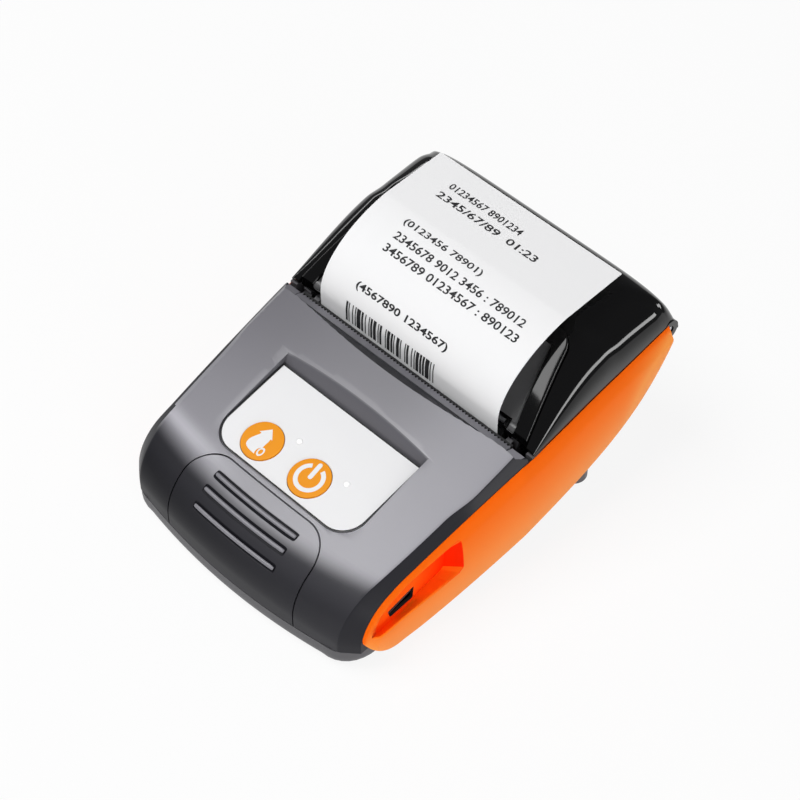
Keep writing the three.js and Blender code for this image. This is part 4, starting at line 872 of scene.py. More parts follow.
def lowerRing(z, inset):
    # outline at one level: bowed front, round front corners, tucked sides with a taper, rounded tail corners
    low = min(max(0, z) / lower["footHeight"], 1)
    shrink = inset + lower["footRound"] * (1 - low) ** 2
    front = lineAt(np.linspace(-1, 1, 41) * (case["creaseFront"] - lower["cornerIn"] - shrink / 2), 0)
    front[:, 1] = shrink - case["noseReach"] + bow(front[:, 0])
    shoulder = shrink - case["noseReach"] + bow(case["sideFront"]) + lower["shoulder"]
    rear, corner = max(tailAt(z) - inset, case["taperStart"] + 1), lower["tailCorner"]
    near, far = front[-1], np.array([case["sideFront"] - shrink, shoulder + lower["cornerLength"]])
    bend, power = quarterTurn(9)[1:], lower["cornerPower"]
    nose = np.column_stack([near[0] + (far[0] - near[0]) * np.sin(bend) ** power,
                            near[1] + (far[1] - near[1]) * (1 - np.cos(bend) ** power)])
    y = np.concatenate([[case["taperStart"] - case["taperLength"]],
                        np.linspace(lower["sideFrom"], rear - corner, 24)])
    half = sideHalf(y) - shrink - tuckAt(y, max(z, 0))
    tail = arcPoints(half[-1] - corner, rear - corner, corner, quarterTurn(7)[1:])
    sides = mirrored(np.vstack([nose, np.column_stack([half, y]), tail]))
    return atLevel(np.vstack([front, sides]), z)


def lowerSolid(name, inset, low, high):
    # the outlines of all levels from low to high
    return loftSolid(name, [lowerRing(low + (high - low) * share, inset) for share in lower["levels"]])


def lowerShell():
    # the hollow form cut along the seam and the cover's line, with screw posts and hinge lugs
    top, reach, gap = lower["top"], case["cutHalf"], lower["seamGap"]
    shell = lowerSolid("lowerShell", 0, 0, top)
    carve(shell, lowerSolid("hollow", case["wall"], case["wall"], top + 1))
    edgeY = np.linspace(case["tearLine"], case["hingeBack"] - case["reliefRadius"], 40)
    first, last = lower["cutEnds"]
    above = [(first, case["seam"] - gap), (case["tearLine"] + gap, case["seam"] - gap),
             *[(y, edgeAt(y) - gap) for y in edgeY[1:]], (lower["rearFrom"], lower["rearTop"]),
             (last, lower["rearTop"]), (last, lower["cutTop"]), (first, lower["cutTop"])]
    carve(shell, sideSolid("above", above, -reach, reach),
          rodX("relief", case["reliefRadius"], *hinge, -reach, reach))
    for x, y, high in lower["screws"]:
        post = rodZ("post", lower["post"], x, y, 1, high)
        carve(post, lowerSolid("outer", 0.3, 0, top), kind="INTERSECT")
        carve(shell, post, kind="UNION")
        if y > 0:
            carve(shell, rodZ("foot", lower["foot"], x, y, 0, lower["footTop"]), kind="UNION")
        carve(shell, rodZ("bore", lower["bore"], x, y, -1, high + 2),
              rodZ("head", lower["head"], x, y, -1, lower["headDepth"]))
    for place in lower["lugs"]:
        low, high = place - lower["lugHalf"], place + lower["lugHalf"]
        lug = boxSolid("lug", (low, *lower["lugLow"]), (high, *lower["lugHigh"]))
        carve(lug, rodX("eye", lower["eye"], *hinge, low, high), kind="UNION")
        carve(shell, lug, kind="UNION")
    carve(shell, rodX("pin", lower["pin"], *hinge, -reach, reach))
    return finish(shell, darkPlastic, "base", "lower_case", sharp=30, slot="dark_plastic")


lowerShell()
print("lower shell made")


# Side panels
panel = {"front": 47.8954, "back": 51.4, "skin": 1.6, "clear": 0.45, "tip": 0.02, "edge": 0.7,
         "lip": 1.25, "foot": 1.9, "swell": 1.15, "fullHeight": 25, "lipStart": 0.12, "lipSlant": 0.57,
         "lipSoft": 0.1, "lipInner": 0.05, "leftDrop": 0.45, "under": 0.15, "backRaise": 0.9,
         "raiseRamp": (5, 20), "cornerDrop": 0.6, "cornerRamp": (1, 7), "least": 0.3,
         "thinnest": (0.1, 0.04), "count": (150, 56),
         "nose": (36, 9, 2.6), "paleBack": 2.2, "paleRamp": (33, 16), "rimFade": 1.5}


def panelTop(y):
    # upper edge: just below the bevel along the top and round the nose, then along the cover line
    crease, half = creaseHalf(y), sideHalf(y)
    inset = case["bevelDrop"] * (half - crease) + case["gap"]
    radius = case["noseRadius"] - inset
    centre = noseBack + bow(half)
    line = case["crownHeight"] + case["topSlope"] * (y - bow(half)) - crown(half)
    line = line - inset / math.cos(slopeAngle)
    arc = case["noseHeight"] - crown(half) + np.sqrt(np.clip(radius ** 2 - (y - centre) ** 2, 0, None))
    past = y - case["tearLine"]
    behind = edgeAt(y) - panel["under"] + panel["backRaise"] * ramp(past, *panel["raiseRamp"])
    behind = behind - panel["cornerDrop"] * (1 - ramp(past, *panel["cornerRamp"]))
    return np.where(y < centre - radius * math.sin(slopeAngle), arc, np.minimum(line, behind))


def panelBottom(y):
    # lower edge: the sweep to the back, and one power of the way forward that lifts it to the nose
    start, height, power = panel["nose"]
    ahead = np.clip((-y - start) / (panel["front"] - start), 0, None)
    return sweepAt(y) + height * ahead ** power


def panelEdges(y, drop=0):
    # lower and upper edge, the upper one lowered by the drop
    low = panelBottom(y)
    return low, np.maximum(panelTop(y) - drop, low + panel["least"])


def rimDistance(y, z, high):
    # how far below the upper edge, measured square to it: from the arc round the nose, else from the line
    half = sideHalf(y)
    inset = case["bevelDrop"] * (half - creaseHalf(y)) + case["gap"]
    ahead = np.maximum(noseBack + bow(half) - y, 0)
    over = np.maximum(z - case["noseHeight"] + crown(half), 0)
    onArc = np.arctan2(ahead, over + 1e-6) > slopeAngle
    fromArc = case["noseRadius"] - inset - np.hypot(ahead, over)
    return np.where(onArc, fromArc, (high - z) * math.cos(slopeAngle))


def panelOut(y, z, low, high):
    # outside: foot to lip with a parabolic swell, less near the tips, under a slanted lip facet
    share = np.clip((z - low) / (high - low), 0, 1)
    size = np.sqrt(np.clip((high - low) / panel["fullHeight"], 0, 1))
    extra = panel["lip"] + (panel["foot"] - panel["lip"]) * (1 - share) * size
    extra = extra + panel["swell"] * size * 4 * share * (1 - share)
    edge = np.clip(panel["edge"] - (z - low), 0, panel["edge"])
    extra = extra - (panel["edge"] - np.sqrt(np.clip(panel["edge"] ** 2 - edge ** 2, 0, None)))
    facet = extra - panel["lipStart"] - panel["lipSlant"] * rimDistance(y, z, high)
    return sideHalf(y) + extra - soften(facet, panel["lipSoft"])


def sidePanel(name, side, drop=0):
    # columns from the lower to the upper edge, closer together at both ends, outside and inside
    columns, rows = panel["count"]
    share = panel["tip"] + (1 - 2 * panel["tip"]) * np.linspace(0, 1, columns)
    y = -panel["front"] + (panel["back"] + panel["front"]) * (1 - np.cos(math.pi * share)) / 2
    y = y[:, None]
    low, high = panelEdges(y, drop)
    z = low + (high - low) * (1 - np.cos(math.pi * np.linspace(0, 1, rows))) / 2
    out = panelOut(y, z, low, high)
    inner = np.maximum(sideHalf(y) + panel["clear"], out - panel["skin"])
    inner = np.maximum(np.minimum(inner, out - panel["thinnest"][0]), sideHalf(y) + panel["lipInner"])
    out = np.maximum(out, inner + panel["thinnest"][1])
    across = np.broadcast_to(y, z.shape)
    outside = np.stack([out, across, z], axis=-1)
    inside = np.stack([inner, across, z], axis=-1)[:, ::-1]
    return loftSolid(name, np.concatenate([outside, inside], axis=1) * [side, 1, 1], ladder=True)


def orangePaintedSheenAt(place, middle, normal):
    # painted sheen: paler from the upper to the lower edge, and towards the back end, held at the dark end
    # along the upper rim
    y, z = place[:, 1], place[:, 2]
    low, high = panelEdges(y)
    share = np.clip((high - z) / (high - low), 0, 1)
    pale = 1 + panel["paleBack"] * ramp(y, *panel["paleRamp"])
    return share * pale * stepUp(rimDistance(y, z, high) / panel["rimFade"])


def portSolid(name, low, high):
    # four-sided mouth in the inner wall, its corners cut round
    return sideSolid(name, recessLoop(recess["mouth"], 0), low, high)


def flankRing(lift, share, grow):
    # a ring of the recess at a height over the flank's outside
    ring = recessRing(0.0, share, grow)
    ring[:, 0] = panelOut(ring[:, 1], ring[:, 2], *panelEdges(ring[:, 1])) + lift
    return ring


def insideLoop(places, loops):
    # crossing count of a ray along y, with a loop of its own for every place
    y, z = places[:, :1], places[:, 1:]
    y0, z0 = loops[..., 0], loops[..., 1]
    y1, z1 = np.roll(y0, -1, axis=1), np.roll(z0, -1, axis=1)
    crosses = (z0 > z) != (z1 > z)
    at = y0 + (z - z0) * (y1 - y0) / np.where(z1 == z0, 1e-9, z1 - z0)
    return (crosses & (y < at)).sum(axis=1) % 2 == 1


# Painted shade in the charging recess: how far its faces are picked out, and the shares of its dark and light
# ends
recessPaintedShade = {"walls": 0.25, "mouth": 0.1, "behind": 0.1, "ahead": 0.02, "side": 0.45, "floorRamp": (0.2, 0.5),
            "backRamp": (-33, 12), "backFloor": 0.75}


def deepFaces(shell):
    # which faces are the recess's walls and which the port's: 1 and 2
    middle = readAll(shell.data.polygons, "center", 3) * 1000
    x, y, z = middle.T
    flank = panelOut(y, z, *panelEdges(y))
    share = np.clip((x - recess["inner"]) / (flank - recess["inner"]), 0, 1)[:, None, None]
    inner, outer = (recessLoop(recess[key], recessPaintedShade["walls"]) for key in ("innerCorners", "outerCorners"))
    walls = insideLoop(middle[:, 1:], inner + (outer - inner) * share)
    walls = walls & (x > recess["inner"] - recessPaintedShade["behind"])
    loop = recessLoop(recess["mouth"], recessPaintedShade["mouth"])
    port = insideLoop(middle[:, 1:], np.broadcast_to(loop, (len(middle), *loop.shape)))
    return np.where(port & (x < recess["inner"] - recessPaintedShade["ahead"]), 2, walls * 1)


def recessPaintedShadeAt(place, middle, normal):
    # painted shade: the recess's floor, facing up, and nose lighter than its inner wall, its back wall
    # darkest
    floor, back = ramp(normal[:, 2], *recessPaintedShade["floorRamp"]), ramp(place[:, 1], *recessPaintedShade["backRamp"])
    lit = recessPaintedShade["side"] + (1 - recessPaintedShade["side"]) * floor
    return lit * (1 - back * (1 - recessPaintedShade["backFloor"] * floor))


def panelWithRecess():
    # the right panel with a boss joined on and the recess and the port's mouth cut out
    shell, inner, wall = sidePanel("orangePanelRight", 1), recess["inner"], recess["wall"]
    boss = loftSolid("boss", [recessRing(inner - wall, 0, wall), recessRing(inner, 0, wall),
                              flankRing(-recess["sunk"], 1, wall)])
    rim = [flankRing(lift, 1, grow) for lift, grow in recess["rim"]]
    pocket = loftSolid("pocket", [recessRing(inner, 0, 0), *rim])
    carve(shell, boss, kind="UNION")
    carve(shell, pocket, portSolid("mouth", *recess["mouthDepth"]))
    kinds = deepFaces(shell)
    deep = np.repeat(kinds > 0, [len(face.vertices) for face in shell.data.polygons])
    # painted shade in the recess and painted sheen on the flank
    paintTone(shell, lambda *places: np.where(deep, recessPaintedShadeAt(*places), orangePaintedSheenAt(*places)))
    finish(shell, orangeShine, "base", "side_panel_right", sharp=35, slot="orange_plastic")
    shell.data.materials.append(orangeRecessShadeGlow)
    shell.data.materials.append(inkBlack)
    # the recess's walls take the orange with painted shade and its faint glow, the port's mouth walls the
    # black ink as painted shade inside the opening
    shell.data.polygons.foreach_set("material_index", kinds.astype(np.int32))
    return shell


panelWithRecess()
# the left panel's painted sheen
leftPanel = paintTone(sidePanel("orangePanelLeft", -1, panel["leftDrop"]), orangePaintedSheenAt)
finish(leftPanel, orangeShine, "base", "side_panel_left", sharp=35, slot="orange_plastic")
print("side panels made")


# Paper cover
cover = {"front": 5.2, "back": 55.2, "top": 47.2973, "base": 31.6973, "crest": 0.6, "rise": 0.88, "fall": 7.5,
         "wide": 0.34, "high": 0.54, "wall": 1.9, "creaseHalf": 27.6, "creaseStart": 29, "creaseFull": 35,
         "creaseBack": 51.5, "creaseSpread": 8.5, "creaseDrop": 0.9, "creaseSoft": 0.7,
         "scoop": (30.5, 31.5), "scoopSize": 3.4, "scoopDepth": 1.1, "spreadPower": 3.2, "backSoft": 3,
         "dentRise": 4, "footFall": 1.1, "evenShare": 0.4, "crowd": 2.2, "halfCount": 40,
         "ear": 3, "earSpan": (37.2, 39.2), "pin": 1.4, "frontCut": 4.2,
         "notch": (33, -33), "notchHalf": 2.05, "notchLow": (47.4, 30.3973), "notchHigh": (56.2, 39.9973)}


def coverTop(y):
    # height along the middle: a rising quarter sine to the crest, then a power fall to the hinge
    share = (y - cover["front"]) / (cover["back"] - cover["front"])
    climb = np.clip(share / cover["crest"], 0, 1)
    fall = np.clip((share - cover["crest"]) / (1 - cover["crest"]), 0, None)
    rise = np.sin(climb * math.pi / 2) ** cover["rise"]
    return (cover["base"] + (cover["top"] - cover["base"]) * rise
            - (cover["top"] - case["hingeHeight"] - case["wall"]) * fall ** cover["fall"])


def coverFoot(y):
    # the line where the cover meets the case, falling straight to the hinge at its end
    behind = np.clip(y - case["edgeEnd"], 0, None) / (cover["back"] - case["edgeEnd"])
    high = case["edgeStart"] + case["edgeRise"]
    return edgeAt(np.minimum(y, case["edgeEnd"])) - behind * (high - case["hingeHeight"] + cover["footFall"])


def coverDent(x, y):
    # how far the cheeks lie below the roof, and the finger scoops behind the lever's corners
    back = np.clip((y - cover["creaseFull"]) / (cover["creaseBack"] - cover["creaseFull"]), 0, 1)
    line = cover["creaseHalf"] + cover["creaseSpread"] * back ** cover["spreadPower"]
    cheek = stepUp((np.abs(x) - line) / (cover["creaseSoft"] * (1 + cover["backSoft"] * back)))
    fade = stepUp((y - cover["creaseStart"]) / (cover["creaseFull"] - cover["creaseStart"]))
    away = (np.abs(x) - cover["scoop"][0]) ** 2 + (y - cover["scoop"][1]) ** 2
    scoop = cover["scoopDepth"] * np.exp(-away / (2 * cover["scoopSize"] ** 2))
    return cover["creaseDrop"] * cheek * fade + scoop


def coverHeightAt(x, y):
    # the arch as a height over the plan: its sine part where the cosine part reaches x
    reach = np.clip(np.abs(x) / sideHalf(y), 0, 1) ** (1 / cover["wide"])
    foot = coverFoot(y)
    return foot + (coverTop(y) - foot) * np.sqrt(np.clip(1 - reach ** 2, 0, 1)) ** cover["high"]


def coverRings(inset, front, back, rows, dented):
    # arches of a power of the cosine across and of the sine up, moved in by the inset
    t, crowd = np.linspace(0, 1, cover["halfCount"])[1:-1], cover["crowd"]
    quarter = np.concatenate([[0], t ** crowd / (t ** crowd + (1 - t) ** crowd), [1]]) * math.pi / 2
    angle = np.concatenate([quarter, math.pi - quarter[-2::-1]])
    share = (1 - np.cos(math.pi * np.linspace(0, 1, rows))) / 2
    even = cover["evenShare"] * np.linspace(0, 1, rows)
    y = (front + (back - front) * (even + (1 - cover["evenShare"]) * share))[:, None]
    foot = coverFoot(y) - (1 if inset > 0 else 0)
    top = coverTop(y) - inset
    x = (sideHalf(y) - inset) * np.sign(np.cos(angle)) * np.abs(np.cos(angle)) ** cover["wide"]
    z = foot + np.maximum(0, top - foot) * np.abs(np.sin(angle)) ** cover["high"]
    if dented:
        z = np.maximum(z - coverDent(x, y) * stepUp((z - foot) / cover["dentRise"]), foot)
    return np.stack([x, np.broadcast_to(y, x.shape), z], axis=-1)


lever = {"front": 5.8, "back": 27.2, "half": 36.4, "taper": 6.0, "raise": 0.9, "thick": 2.6, "rail": 3.6,
         "pocket": 1.5, "corner": 3.5, "pin": (7.3, 31.9973), "eye": 1.4, "eyeFrom": 30.4, "eyeTo": 32.8,
         "roundOff": 0.5, "slope": 0.9, "eyeGap": 0.3, "clearHalf": 30.1, "bore": 0.8, "boreHalf": 34,
         "cornerCount": 12, "rowCount": 46, "middleCount": 14, "least": 0.3,
         "rowSteps": (0.1, 0.25, 0.4, 0.6, 0.9, 1.4, 2, 3, 3.3, 3.6, 3.9, 4.2, 4.6),
         "sideSteps": (0, 0.08, 0.18, 0.3, 0.45, 0.7, 1.5, 2.5, 3.2, 3.5, 3.65, 3.8, 3.95, 4.1, 4.3, 4.5, 4.8,
                       5.4, 6.5)}


def leverHalf(y, grow=0, corner=lever["corner"]):
    # half width: tapers straight to the back and ends in a round corner
    back = lever["back"] + grow
    half = lever["half"] + grow - lever["taper"] * (y - lever["front"]) / (lever["back"] - lever["front"])
    into = np.clip((y - back + corner) / corner, 0, 1)
    return half - corner * (1 - np.sqrt(np.clip(1 - into ** 2, 0, 1)))


def leverOpening(grow, z0, z1):
    # the lever's outline, grown, between two levels
    back = lever["back"] + grow
    turn = np.sin(quarterTurn(lever["cornerCount"]))
    y = np.concatenate([[lever["front"] - 2], back - lever["corner"] + lever["corner"] * turn])
    return planSolid("opening", mirrored(np.column_stack([leverHalf(y, grow), y])), z0, z1)


def coverShell():
    # the hollow arch with hinge ears, open for the lever and notched for the case's hinge lugs
    back, gap, reach, top = cover["back"], case["gap"], case["cutHalf"], case["cutTop"]
    shell = loftSolid("coverShell", coverRings(0, cover["front"], back, 90, True))
    hollow = coverRings(cover["wall"], cover["front"] - 1, back - cover["wall"], 40, False)
    carve(shell, loftSolid("hollow", hollow))
    for side in (1, -1):
        low, high = sorted(side * place for place in cover["earSpan"])
        carve(shell, rodX("ear", cover["ear"], *hinge, low, high, 64), kind="UNION")
    half = lever["half"] + gap
    carve(shell, leverOpening(gap, case["seam"], top),
          boxSolid("frontCut", (-half, cover["frontCut"], case["seam"]), (half, lever["front"], top)))
    for place in cover["notch"]:
        carve(shell, boxSolid("notch", (place - cover["notchHalf"], *cover["notchLow"]),
                              (place + cover["notchHalf"], *cover["notchHigh"])))
    carve(shell, rodX("pin", cover["pin"], *hinge, -reach, reach))
    return finish(shell, blackGloss, "cover", "paper_cover", sharp=30, slot="black_gloss")


def leverShell():
    # a height field on the cover's form: raised rails round a sunk pocket that is open at the front
    front, back = lever["front"], lever["back"]
    y = front + (back - front) * np.sin(quarterTurn(lever["rowCount"]))
    y = np.unique(np.concatenate([y, back - np.array(lever["rowSteps"])]))[:, None]
    wide, inward = leverHalf(y), np.array(lever["sideSteps"])
    middle = (wide - inward[-1]) * np.linspace(1, 0, lever["middleCount"])[1:]
    right = np.concatenate([wide - inward, middle], axis=1)
    x = np.concatenate([right, -right[:, -2::-1]], axis=1)
    across = np.broadcast_to(y, x.shape)
    away = np.minimum(leverHalf(y, 0, 0.001) - np.abs(x), back - across)
    away = np.minimum(away, wide - np.abs(x))
    into = np.clip(1 - away / lever["roundOff"], 0, 1)
    edge = lever["roundOff"] * (1 - np.sqrt(np.clip(1 - into ** 2, 0, 1)))
    sunk = ramp(away, lever["rail"], lever["slope"]) * lever["pocket"]
    base = coverHeightAt(x, y)
    z = base + lever["raise"] - edge - sunk
    low = np.minimum(base + lever["raise"] - lever["thick"], z - lever["least"])
    top, under = (np.stack([x, across, height], axis=-1) for height in (z, low))
    shell = loftSolid("leverShell", np.concatenate([top, under[:, ::-1]], axis=1), ladder=True)
    half = lever["clearHalf"]
    carve(shell, rodX("clear", lever["eye"] + lever["eyeGap"], *lever["pin"], -half, half))
    for side in (1, -1):
        low, high = sorted((side * lever["eyeFrom"], side * lever["eyeTo"]))
        carve(shell, rodX("eye", lever["eye"], *lever["pin"], low, high), kind="UNION")
    carve(shell, rodX("bore", lever["bore"], *lever["pin"], -lever["boreHalf"], lever["boreHalf"]))
    finish(shell, blackGloss, "lever", "release_lever", sharp=30, slot="black_gloss")
    shell.data.materials.append(leverSatin)
    for face in shell.data.polygons:
        fx, fy = (face.center * 1000)[:2]
        inward = min(float(leverHalf(fy)) - abs(fx), back - fy)
        face.material_index = int(face.normal.z > 0 and inward > lever["rail"] + lever["slope"] / 2)
    return shell


coverShell()
leverShell()
print("cover and lever made")

# Label, keys and lights
label = {"keyRadius": 5.15, "keyGap": 0.15, "keyBevel": 0.15, "keyFlat": 0.6, "proud": 0.3, "disc": 0.7,
         "row": 31.7, "feed": -11.0, "power": 4.5, "stem": 1.6, "stemFoot": -3.5, "point": 0.01,
         "lightRadius": 0.7, "lightGap": 0.05, "lights": ((-4.3, 5.5), (12.1, 4.4)), "lightRise": 0.22,
         "lightFoot": -0.9, "lightSides": 32, "film": 0.15, "print": 0.02, "line": 0.35,
         "powerRing": (3.25, 1.1, 117, 423), "powerBar": (0.3, 3.9, 1.15), "powerTurn": 5,
         "rollRing": (0.85, 0.45, 0, 360), "rollPlace": (1.85, -2.35), "rollOval": (0.78, 1.15),
         "sheet": [(1.8, 1.5), (-0.24, 3.68), (-2.32, 1.4), (-1.6, 1.4), (-1.75, 0.9), (-2.2, 0.0),
                   (-2.6, -0.9), (-2.75, -1.7), (-2.65, -2.4), (-2.35, -2.95), (-1.8, -3.3), (-1.1, -3.5),
                   (0.0, -3.62), (1.0, -3.65), (0.7, -3.1), (0.65, -2.5), (0.8, -2.0), (1.1, -1.6),
                   (1.4, -1.4), (1.36, -0.5), (1.42, 0.6), (1.3, 1.5)]}


def plateSolid(name, outline, low, high):
    # an outline on the plate between two heights over it
    return turnOutward(layOnPlate(planSolid(name, outline, low, high)))


keyRow = (plate["front"] - label["row"]) / plateCos


def labelPlate():
    # the white film with holes for the keys and the lights
    film = plateSolid("labelFilm", plateOutline(0), label["film"] - plate["thick"], 0)
    radius, sides = label["lightRadius"] + label["lightGap"], label["lightSides"]
    for x in (label["feed"], label["power"]):
        carve(film, plateSolid("hole", circle(x, keyRow, label["keyRadius"] + label["keyGap"]), -1, 1))
    for x, behind in label["lights"]:
        carve(film, plateSolid("hole", circle(x, keyRow + behind, radius, sides), -1, 1))
    return finish(film, labelWhite, "base", "control_panel", sharp=30, slot="label_film")


def labelShadowLine():
    # painted shadow: a dark line round the label's edge, just over the film
    rings = [atLevel(plateOutline(-inset), label["print"]) for inset in (0, label["line"])]
    count = len(rings[0])
    faces = [[i, (i + 1) % count, count + (i + 1) % count, count + i] for i in range(count)]
    edge = addMesh("labelShadowLine", onPlate(np.vstack(rings)), faces)
    editMesh(edge, lambda shape: bmesh.ops.reverse_faces(
        shape, faces=[side for side in shape.faces if side.normal.z < 0]))
    return finish(edge, inkBlack, "base")


def turnedSolid(name, x, y, rings, sides):
    # circles of a radius and a height over the plate, one over the other
    return loftSolid(name, [onPlate(atLevel(circle(x, y, radius, sides), height))
                            for radius, height in rings])


def keyCap(name, x, body, node):
    # a flat disc with a round edge on a stem
    radius, top, bevel = label["keyRadius"], label["proud"], label["keyBevel"]
    under = top - label["disc"]
    rings = [(label["point"], top), (radius * label["keyFlat"], top)]
    rings += [(radius - bevel + bevel * math.sin(a), top - bevel + bevel * math.cos(a))
              for a in quarterTurn(6)]
    rings += [(radius, under), (label["stem"], under), (label["stem"], label["stemFoot"]),
              (label["point"], label["stemFoot"])]
    return finish(turnedSolid(name, x, keyRow, rings, 72), amberFilm, body, node, sharp=30, slot="amber_film")


def ledDome(name, x, behind, node):
    # a shallow dome over a short stem
    radius = label["lightRadius"]
    rings = [(max(radius * math.sin(a), label["point"]), label["lightRise"] * math.cos(a))
             for a in quarterTurn(7)] + [(radius, label["lightFoot"])]
    dome = turnedSolid(name, x, keyRow + behind, rings, label["lightSides"])
    return finish(dome, lensWhite, "base", node, slot="clear_plastic")


def printOn(name, shapes, body):
    # thin flat outlines laid on a key
    verts, faces = [], []
    for outline in shapes:
        faces.append(list(range(len(verts), len(verts) + len(outline))))
        verts += atLevel(outline, label["proud"] + label["print"]).tolist()
    piece = addMesh(name, onPlate(verts), faces)
    editMesh(piece, lambda shape: bmesh.ops.triangulate(shape, faces=shape.faces))
    return finish(piece, labelWhite, body)


def ringStroke(x, y, radius, width, start, stop, steps=48):
    # quads along an arc of a ring
    turn = np.radians(np.linspace(start, stop, steps))
    outer, inner = (arcPoints(x, y, size, turn) for size in (radius + width / 2, radius - width / 2))
    return [np.array([outer[i], outer[i + 1], inner[i + 1], inner[i]]) for i in range(steps - 1)]


def pill(x0, y0, x1, y1, width, steps=10):
    # a bar with round ends between two places
    along, turn = math.atan2(y1 - y0, x1 - x0), np.linspace(0, math.pi, steps)
    return np.vstack([arcPoints(x0, y0, width / 2, along + math.pi / 2 + turn),
                      arcPoints(x1, y1, width / 2, along - math.pi / 2 + turn)])


def turned(shapes, x, y, degrees):
    # shapes turned anticlockwise about a place
    c, s = math.cos(math.radians(degrees)), math.sin(math.radians(degrees))
    return [(shape - [x, y]) @ np.array([[c, s], [-s, c]]) + [x, y] for shape in shapes]


def powerIcon():
    # an open ring with a bar in its gap
    x, (low, high, width) = label["power"], label["powerBar"]
    shapes = ringStroke(x, keyRow, *label["powerRing"]) + [pill(x, keyRow + low, x, keyRow + high, width)]
    return printOn("powerIcon", turned(shapes, x, keyRow, label["powerTurn"]), "power_key")


def feedIcon():
    # a curled sheet ending in an arrow head, with the small ring of its roll beside the foot
    x, (right, up) = label["feed"], label["rollPlace"]
    ring = [shape * label["rollOval"] + [x + right, keyRow + up]
            for shape in ringStroke(0, 0, *label["rollRing"])]
    return printOn("feedIcon", [np.array(label["sheet"]) + [x, keyRow]] + ring, "feed_key")


labelPlate()
labelShadowLine()
for (x, behind), side in zip(label["lights"], ("left", "right")):
    ledDome(side + "Light", x, behind, "led_window_" + side)
keyCap("feedKeyCap", label["feed"], "feed_key", "feed_button")
keyCap("powerKeyCap", label["power"], "power_key", "power_button")
powerIcon()
feedIcon()
print("label and keys made")

# Tear strip: a thin toothed plate in the seat behind the crown
tear = {"half": 34.0, "front": 1.2, "thick": 1.0, "pitch": 1.0, "tooth": 0.75, "proud": 0.12,
        "shadeLow": (-33.6, 3.78, 28.9), "shadeHigh": (33.6, 4.26, 30.35)}


def tearStrip():
    # teeth along the back edge; the top follows the cut plane
    back, count = case["tearLine"], round(2 * tear["half"] / tear["pitch"])
    x = np.linspace(tear["half"], -tear["half"], 2 * count + 1)
    teeth = np.column_stack([x, back - tear["tooth"] * (np.arange(len(x)) % 2 == 0)])
    outline = np.vstack([[-tear["half"], tear["front"]], [tear["half"], tear["front"]], teeth])
    rings = [np.column_stack([outline, chamferAt(outline[:, 1]) + lift])
             for lift in (-tear["thick"], tear["proud"])]
    return finish(loftSolid("tearStrip", rings), tearGrey, "base", "tear_bar", sharp=25, slot="steel")


tearStrip()
# painted shade: a thin black rubber sheet behind the tear teeth so that the gaps between them show dark
finish(boxSolid("slotShadeSheet", tear["shadeLow"], tear["shadeHigh"]), rubber, "base")
print("tear strip made")


# Printed strip
strip = {"half": 28.5, "thick": 0.16, "start": (4.55, 27.9973), "end": (45.5, 51.5473), "inkLift": 0.05,
         "bend": ((4.55, 34.5973), (4.7, 41.7), (12.5, 49.7), (26.5, 51.3973)),
         "barStart": -20.0, "barLength": 28.5, "barRuns": (3.2, 9.4, 8),
         "bars": "2113121141221311213211241131211231141123121131212141121"}


def stripLine(count=90):
    # straight rise to the bend, a cubic curve back over the lever, then a straight end
    points = np.array(strip["bend"])
    t = np.linspace(0, 1, count)[:, None]
    curve = ((1 - t) ** 3 * points[0] + 3 * (1 - t) ** 2 * t * points[1]
             + 3 * (1 - t) * t ** 2 * points[2] + t ** 3 * points[3])
    rise = np.linspace(strip["start"], points[0], 8)[:-1]
    flat = np.linspace(points[3], strip["end"], 24)[1:]
    return np.vstack([rise, curve, flat])


stripPath = stripLine()
stripRun = np.concatenate([[0], np.cumsum(np.hypot(*np.diff(stripPath, axis=0).T))])
stripAlong = np.gradient(stripPath, axis=0)
stripAlong /= np.linalg.norm(stripAlong, axis=1)[:, None]
stripOut = np.column_stack([-stripAlong[:, 1], stripAlong[:, 0]])


def onStrip(x, run, lift):
    # a place across and along the strip, lifted off its printed side
    y = np.interp(run, stripRun, stripPath[:, 0]) + lift * np.interp(run, stripRun, stripOut[:, 0])
    z = np.interp(run, stripRun, stripPath[:, 1]) + lift * np.interp(run, stripRun, stripOut[:, 1])
    return np.column_stack([x, y, z])


def stripSheet():
    # both faces of the paper, from its left to its right edge
    rings = []
    for x in np.linspace(-strip["half"], strip["half"], 40):
        top, low = (onStrip(np.full(len(stripRun), x), stripRun, lift)
                    for lift in (strip["thick"] / 2, -strip["thick"] / 2))
        rings.append(np.vstack([top, low[::-1]]))
    return finish(loftSolid("stripSheet", rings, ladder=True), paperWhite, "cover", "paper_strip",
                  sharp=50, slot="paper")


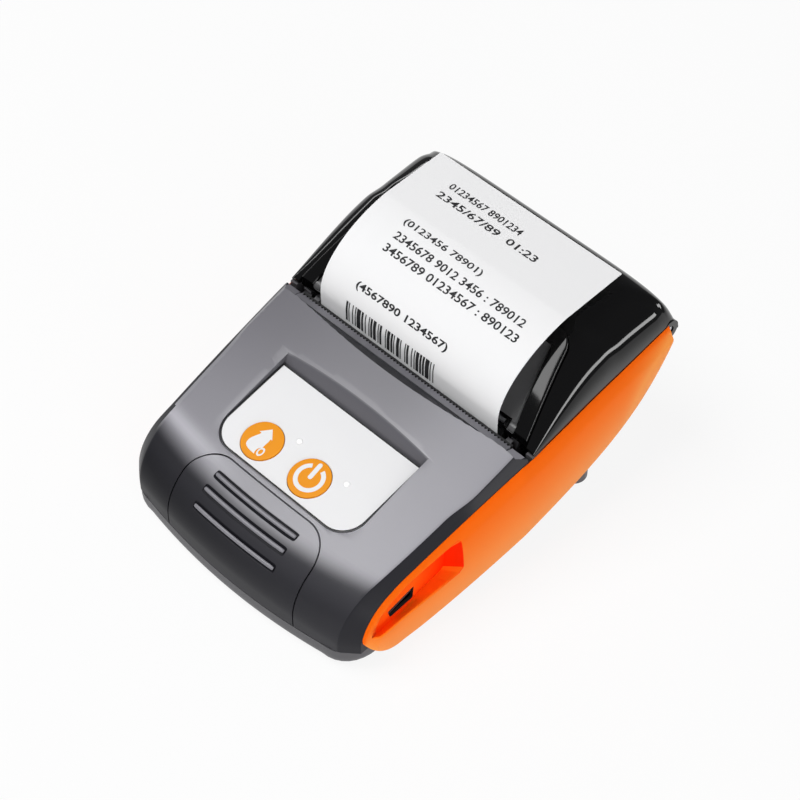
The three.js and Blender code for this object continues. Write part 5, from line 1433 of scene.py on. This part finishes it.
def digitShapes(text, height, width, weight):
    # plain figures from the built-in font, scaled to a height and a total width
    data = bpy.data.curves.new("figures", "FONT")
    data.body, data.size, data.offset, data.resolution_u = text, 1, weight, 3
    holder = addObject("figures", data)
    bpy.context.view_layer.update()
    mesh = bpy.data.meshes.new_from_object(holder)
    points = np.array([v.co for v in mesh.vertices])[:, :2]
    faces = [list(f.vertices) for f in mesh.polygons]
    bpy.data.objects.remove(holder)
    points -= points.min(axis=0)
    points *= [width / points[:, 0].max(), height / points[:, 1].max()]
    return points, faces


stripRows = [  # text, x from, x to, run at the foot, height, weight
    ("01234567 8901234", -19.1, 3.6, 47.9, 2.1, 0.016),
    ("2345/67/89  01:23", -19.5, 11.8, 44.0, 2.1, 0.016),
    ("(0123456 78901)", -19.1, 5.4, 32.2, 2.3, 0.016),
    ("2345678 9012 3456 : 789012", -18.4, 22.3, 28.3, 2.2, 0.016),
    ("3456789 01234567 : 890123", -18.4, 23.4, 24.5, 2.2, 0.016),
    ("(4567890 1234567)", -19.0, 10.0, 13.2, 2.5, 0.022),
]


def stripPrint():
    # rows of figures and a row of bars, just over the paper's printed side
    verts, faces = [], []

    def put(points, shapes):
        # lays shapes across and along the strip
        start = len(verts)
        verts.extend(onStrip(points[:, 0], points[:, 1], strip["thick"] / 2 + strip["inkLift"]).tolist())
        faces.extend([[start + i for i in shape] for shape in shapes])

    for text, left, right, run, height, weight in stripRows:
        points, shapes = digitShapes(text, height, right - left, weight)
        put(points + [left, run], shapes)
    widths, left = [int(width) for width in strip["bars"]], strip["barStart"]
    unit, runs = strip["barLength"] / sum(widths), np.linspace(*strip["barRuns"])
    for i, width in enumerate(widths):
        if i % 2 == 0:
            points = np.array([(x, run) for run in runs for x in (left, left + width * unit)])
            put(points, [[2 * k, 2 * k + 1, 2 * k + 3, 2 * k + 2] for k in range(len(runs) - 1)])
        left += width * unit
    return finish(addMesh("stripPrint", verts, faces), inkBlack, "cover")


stripSheet()
stripPrint()
print("strip made")
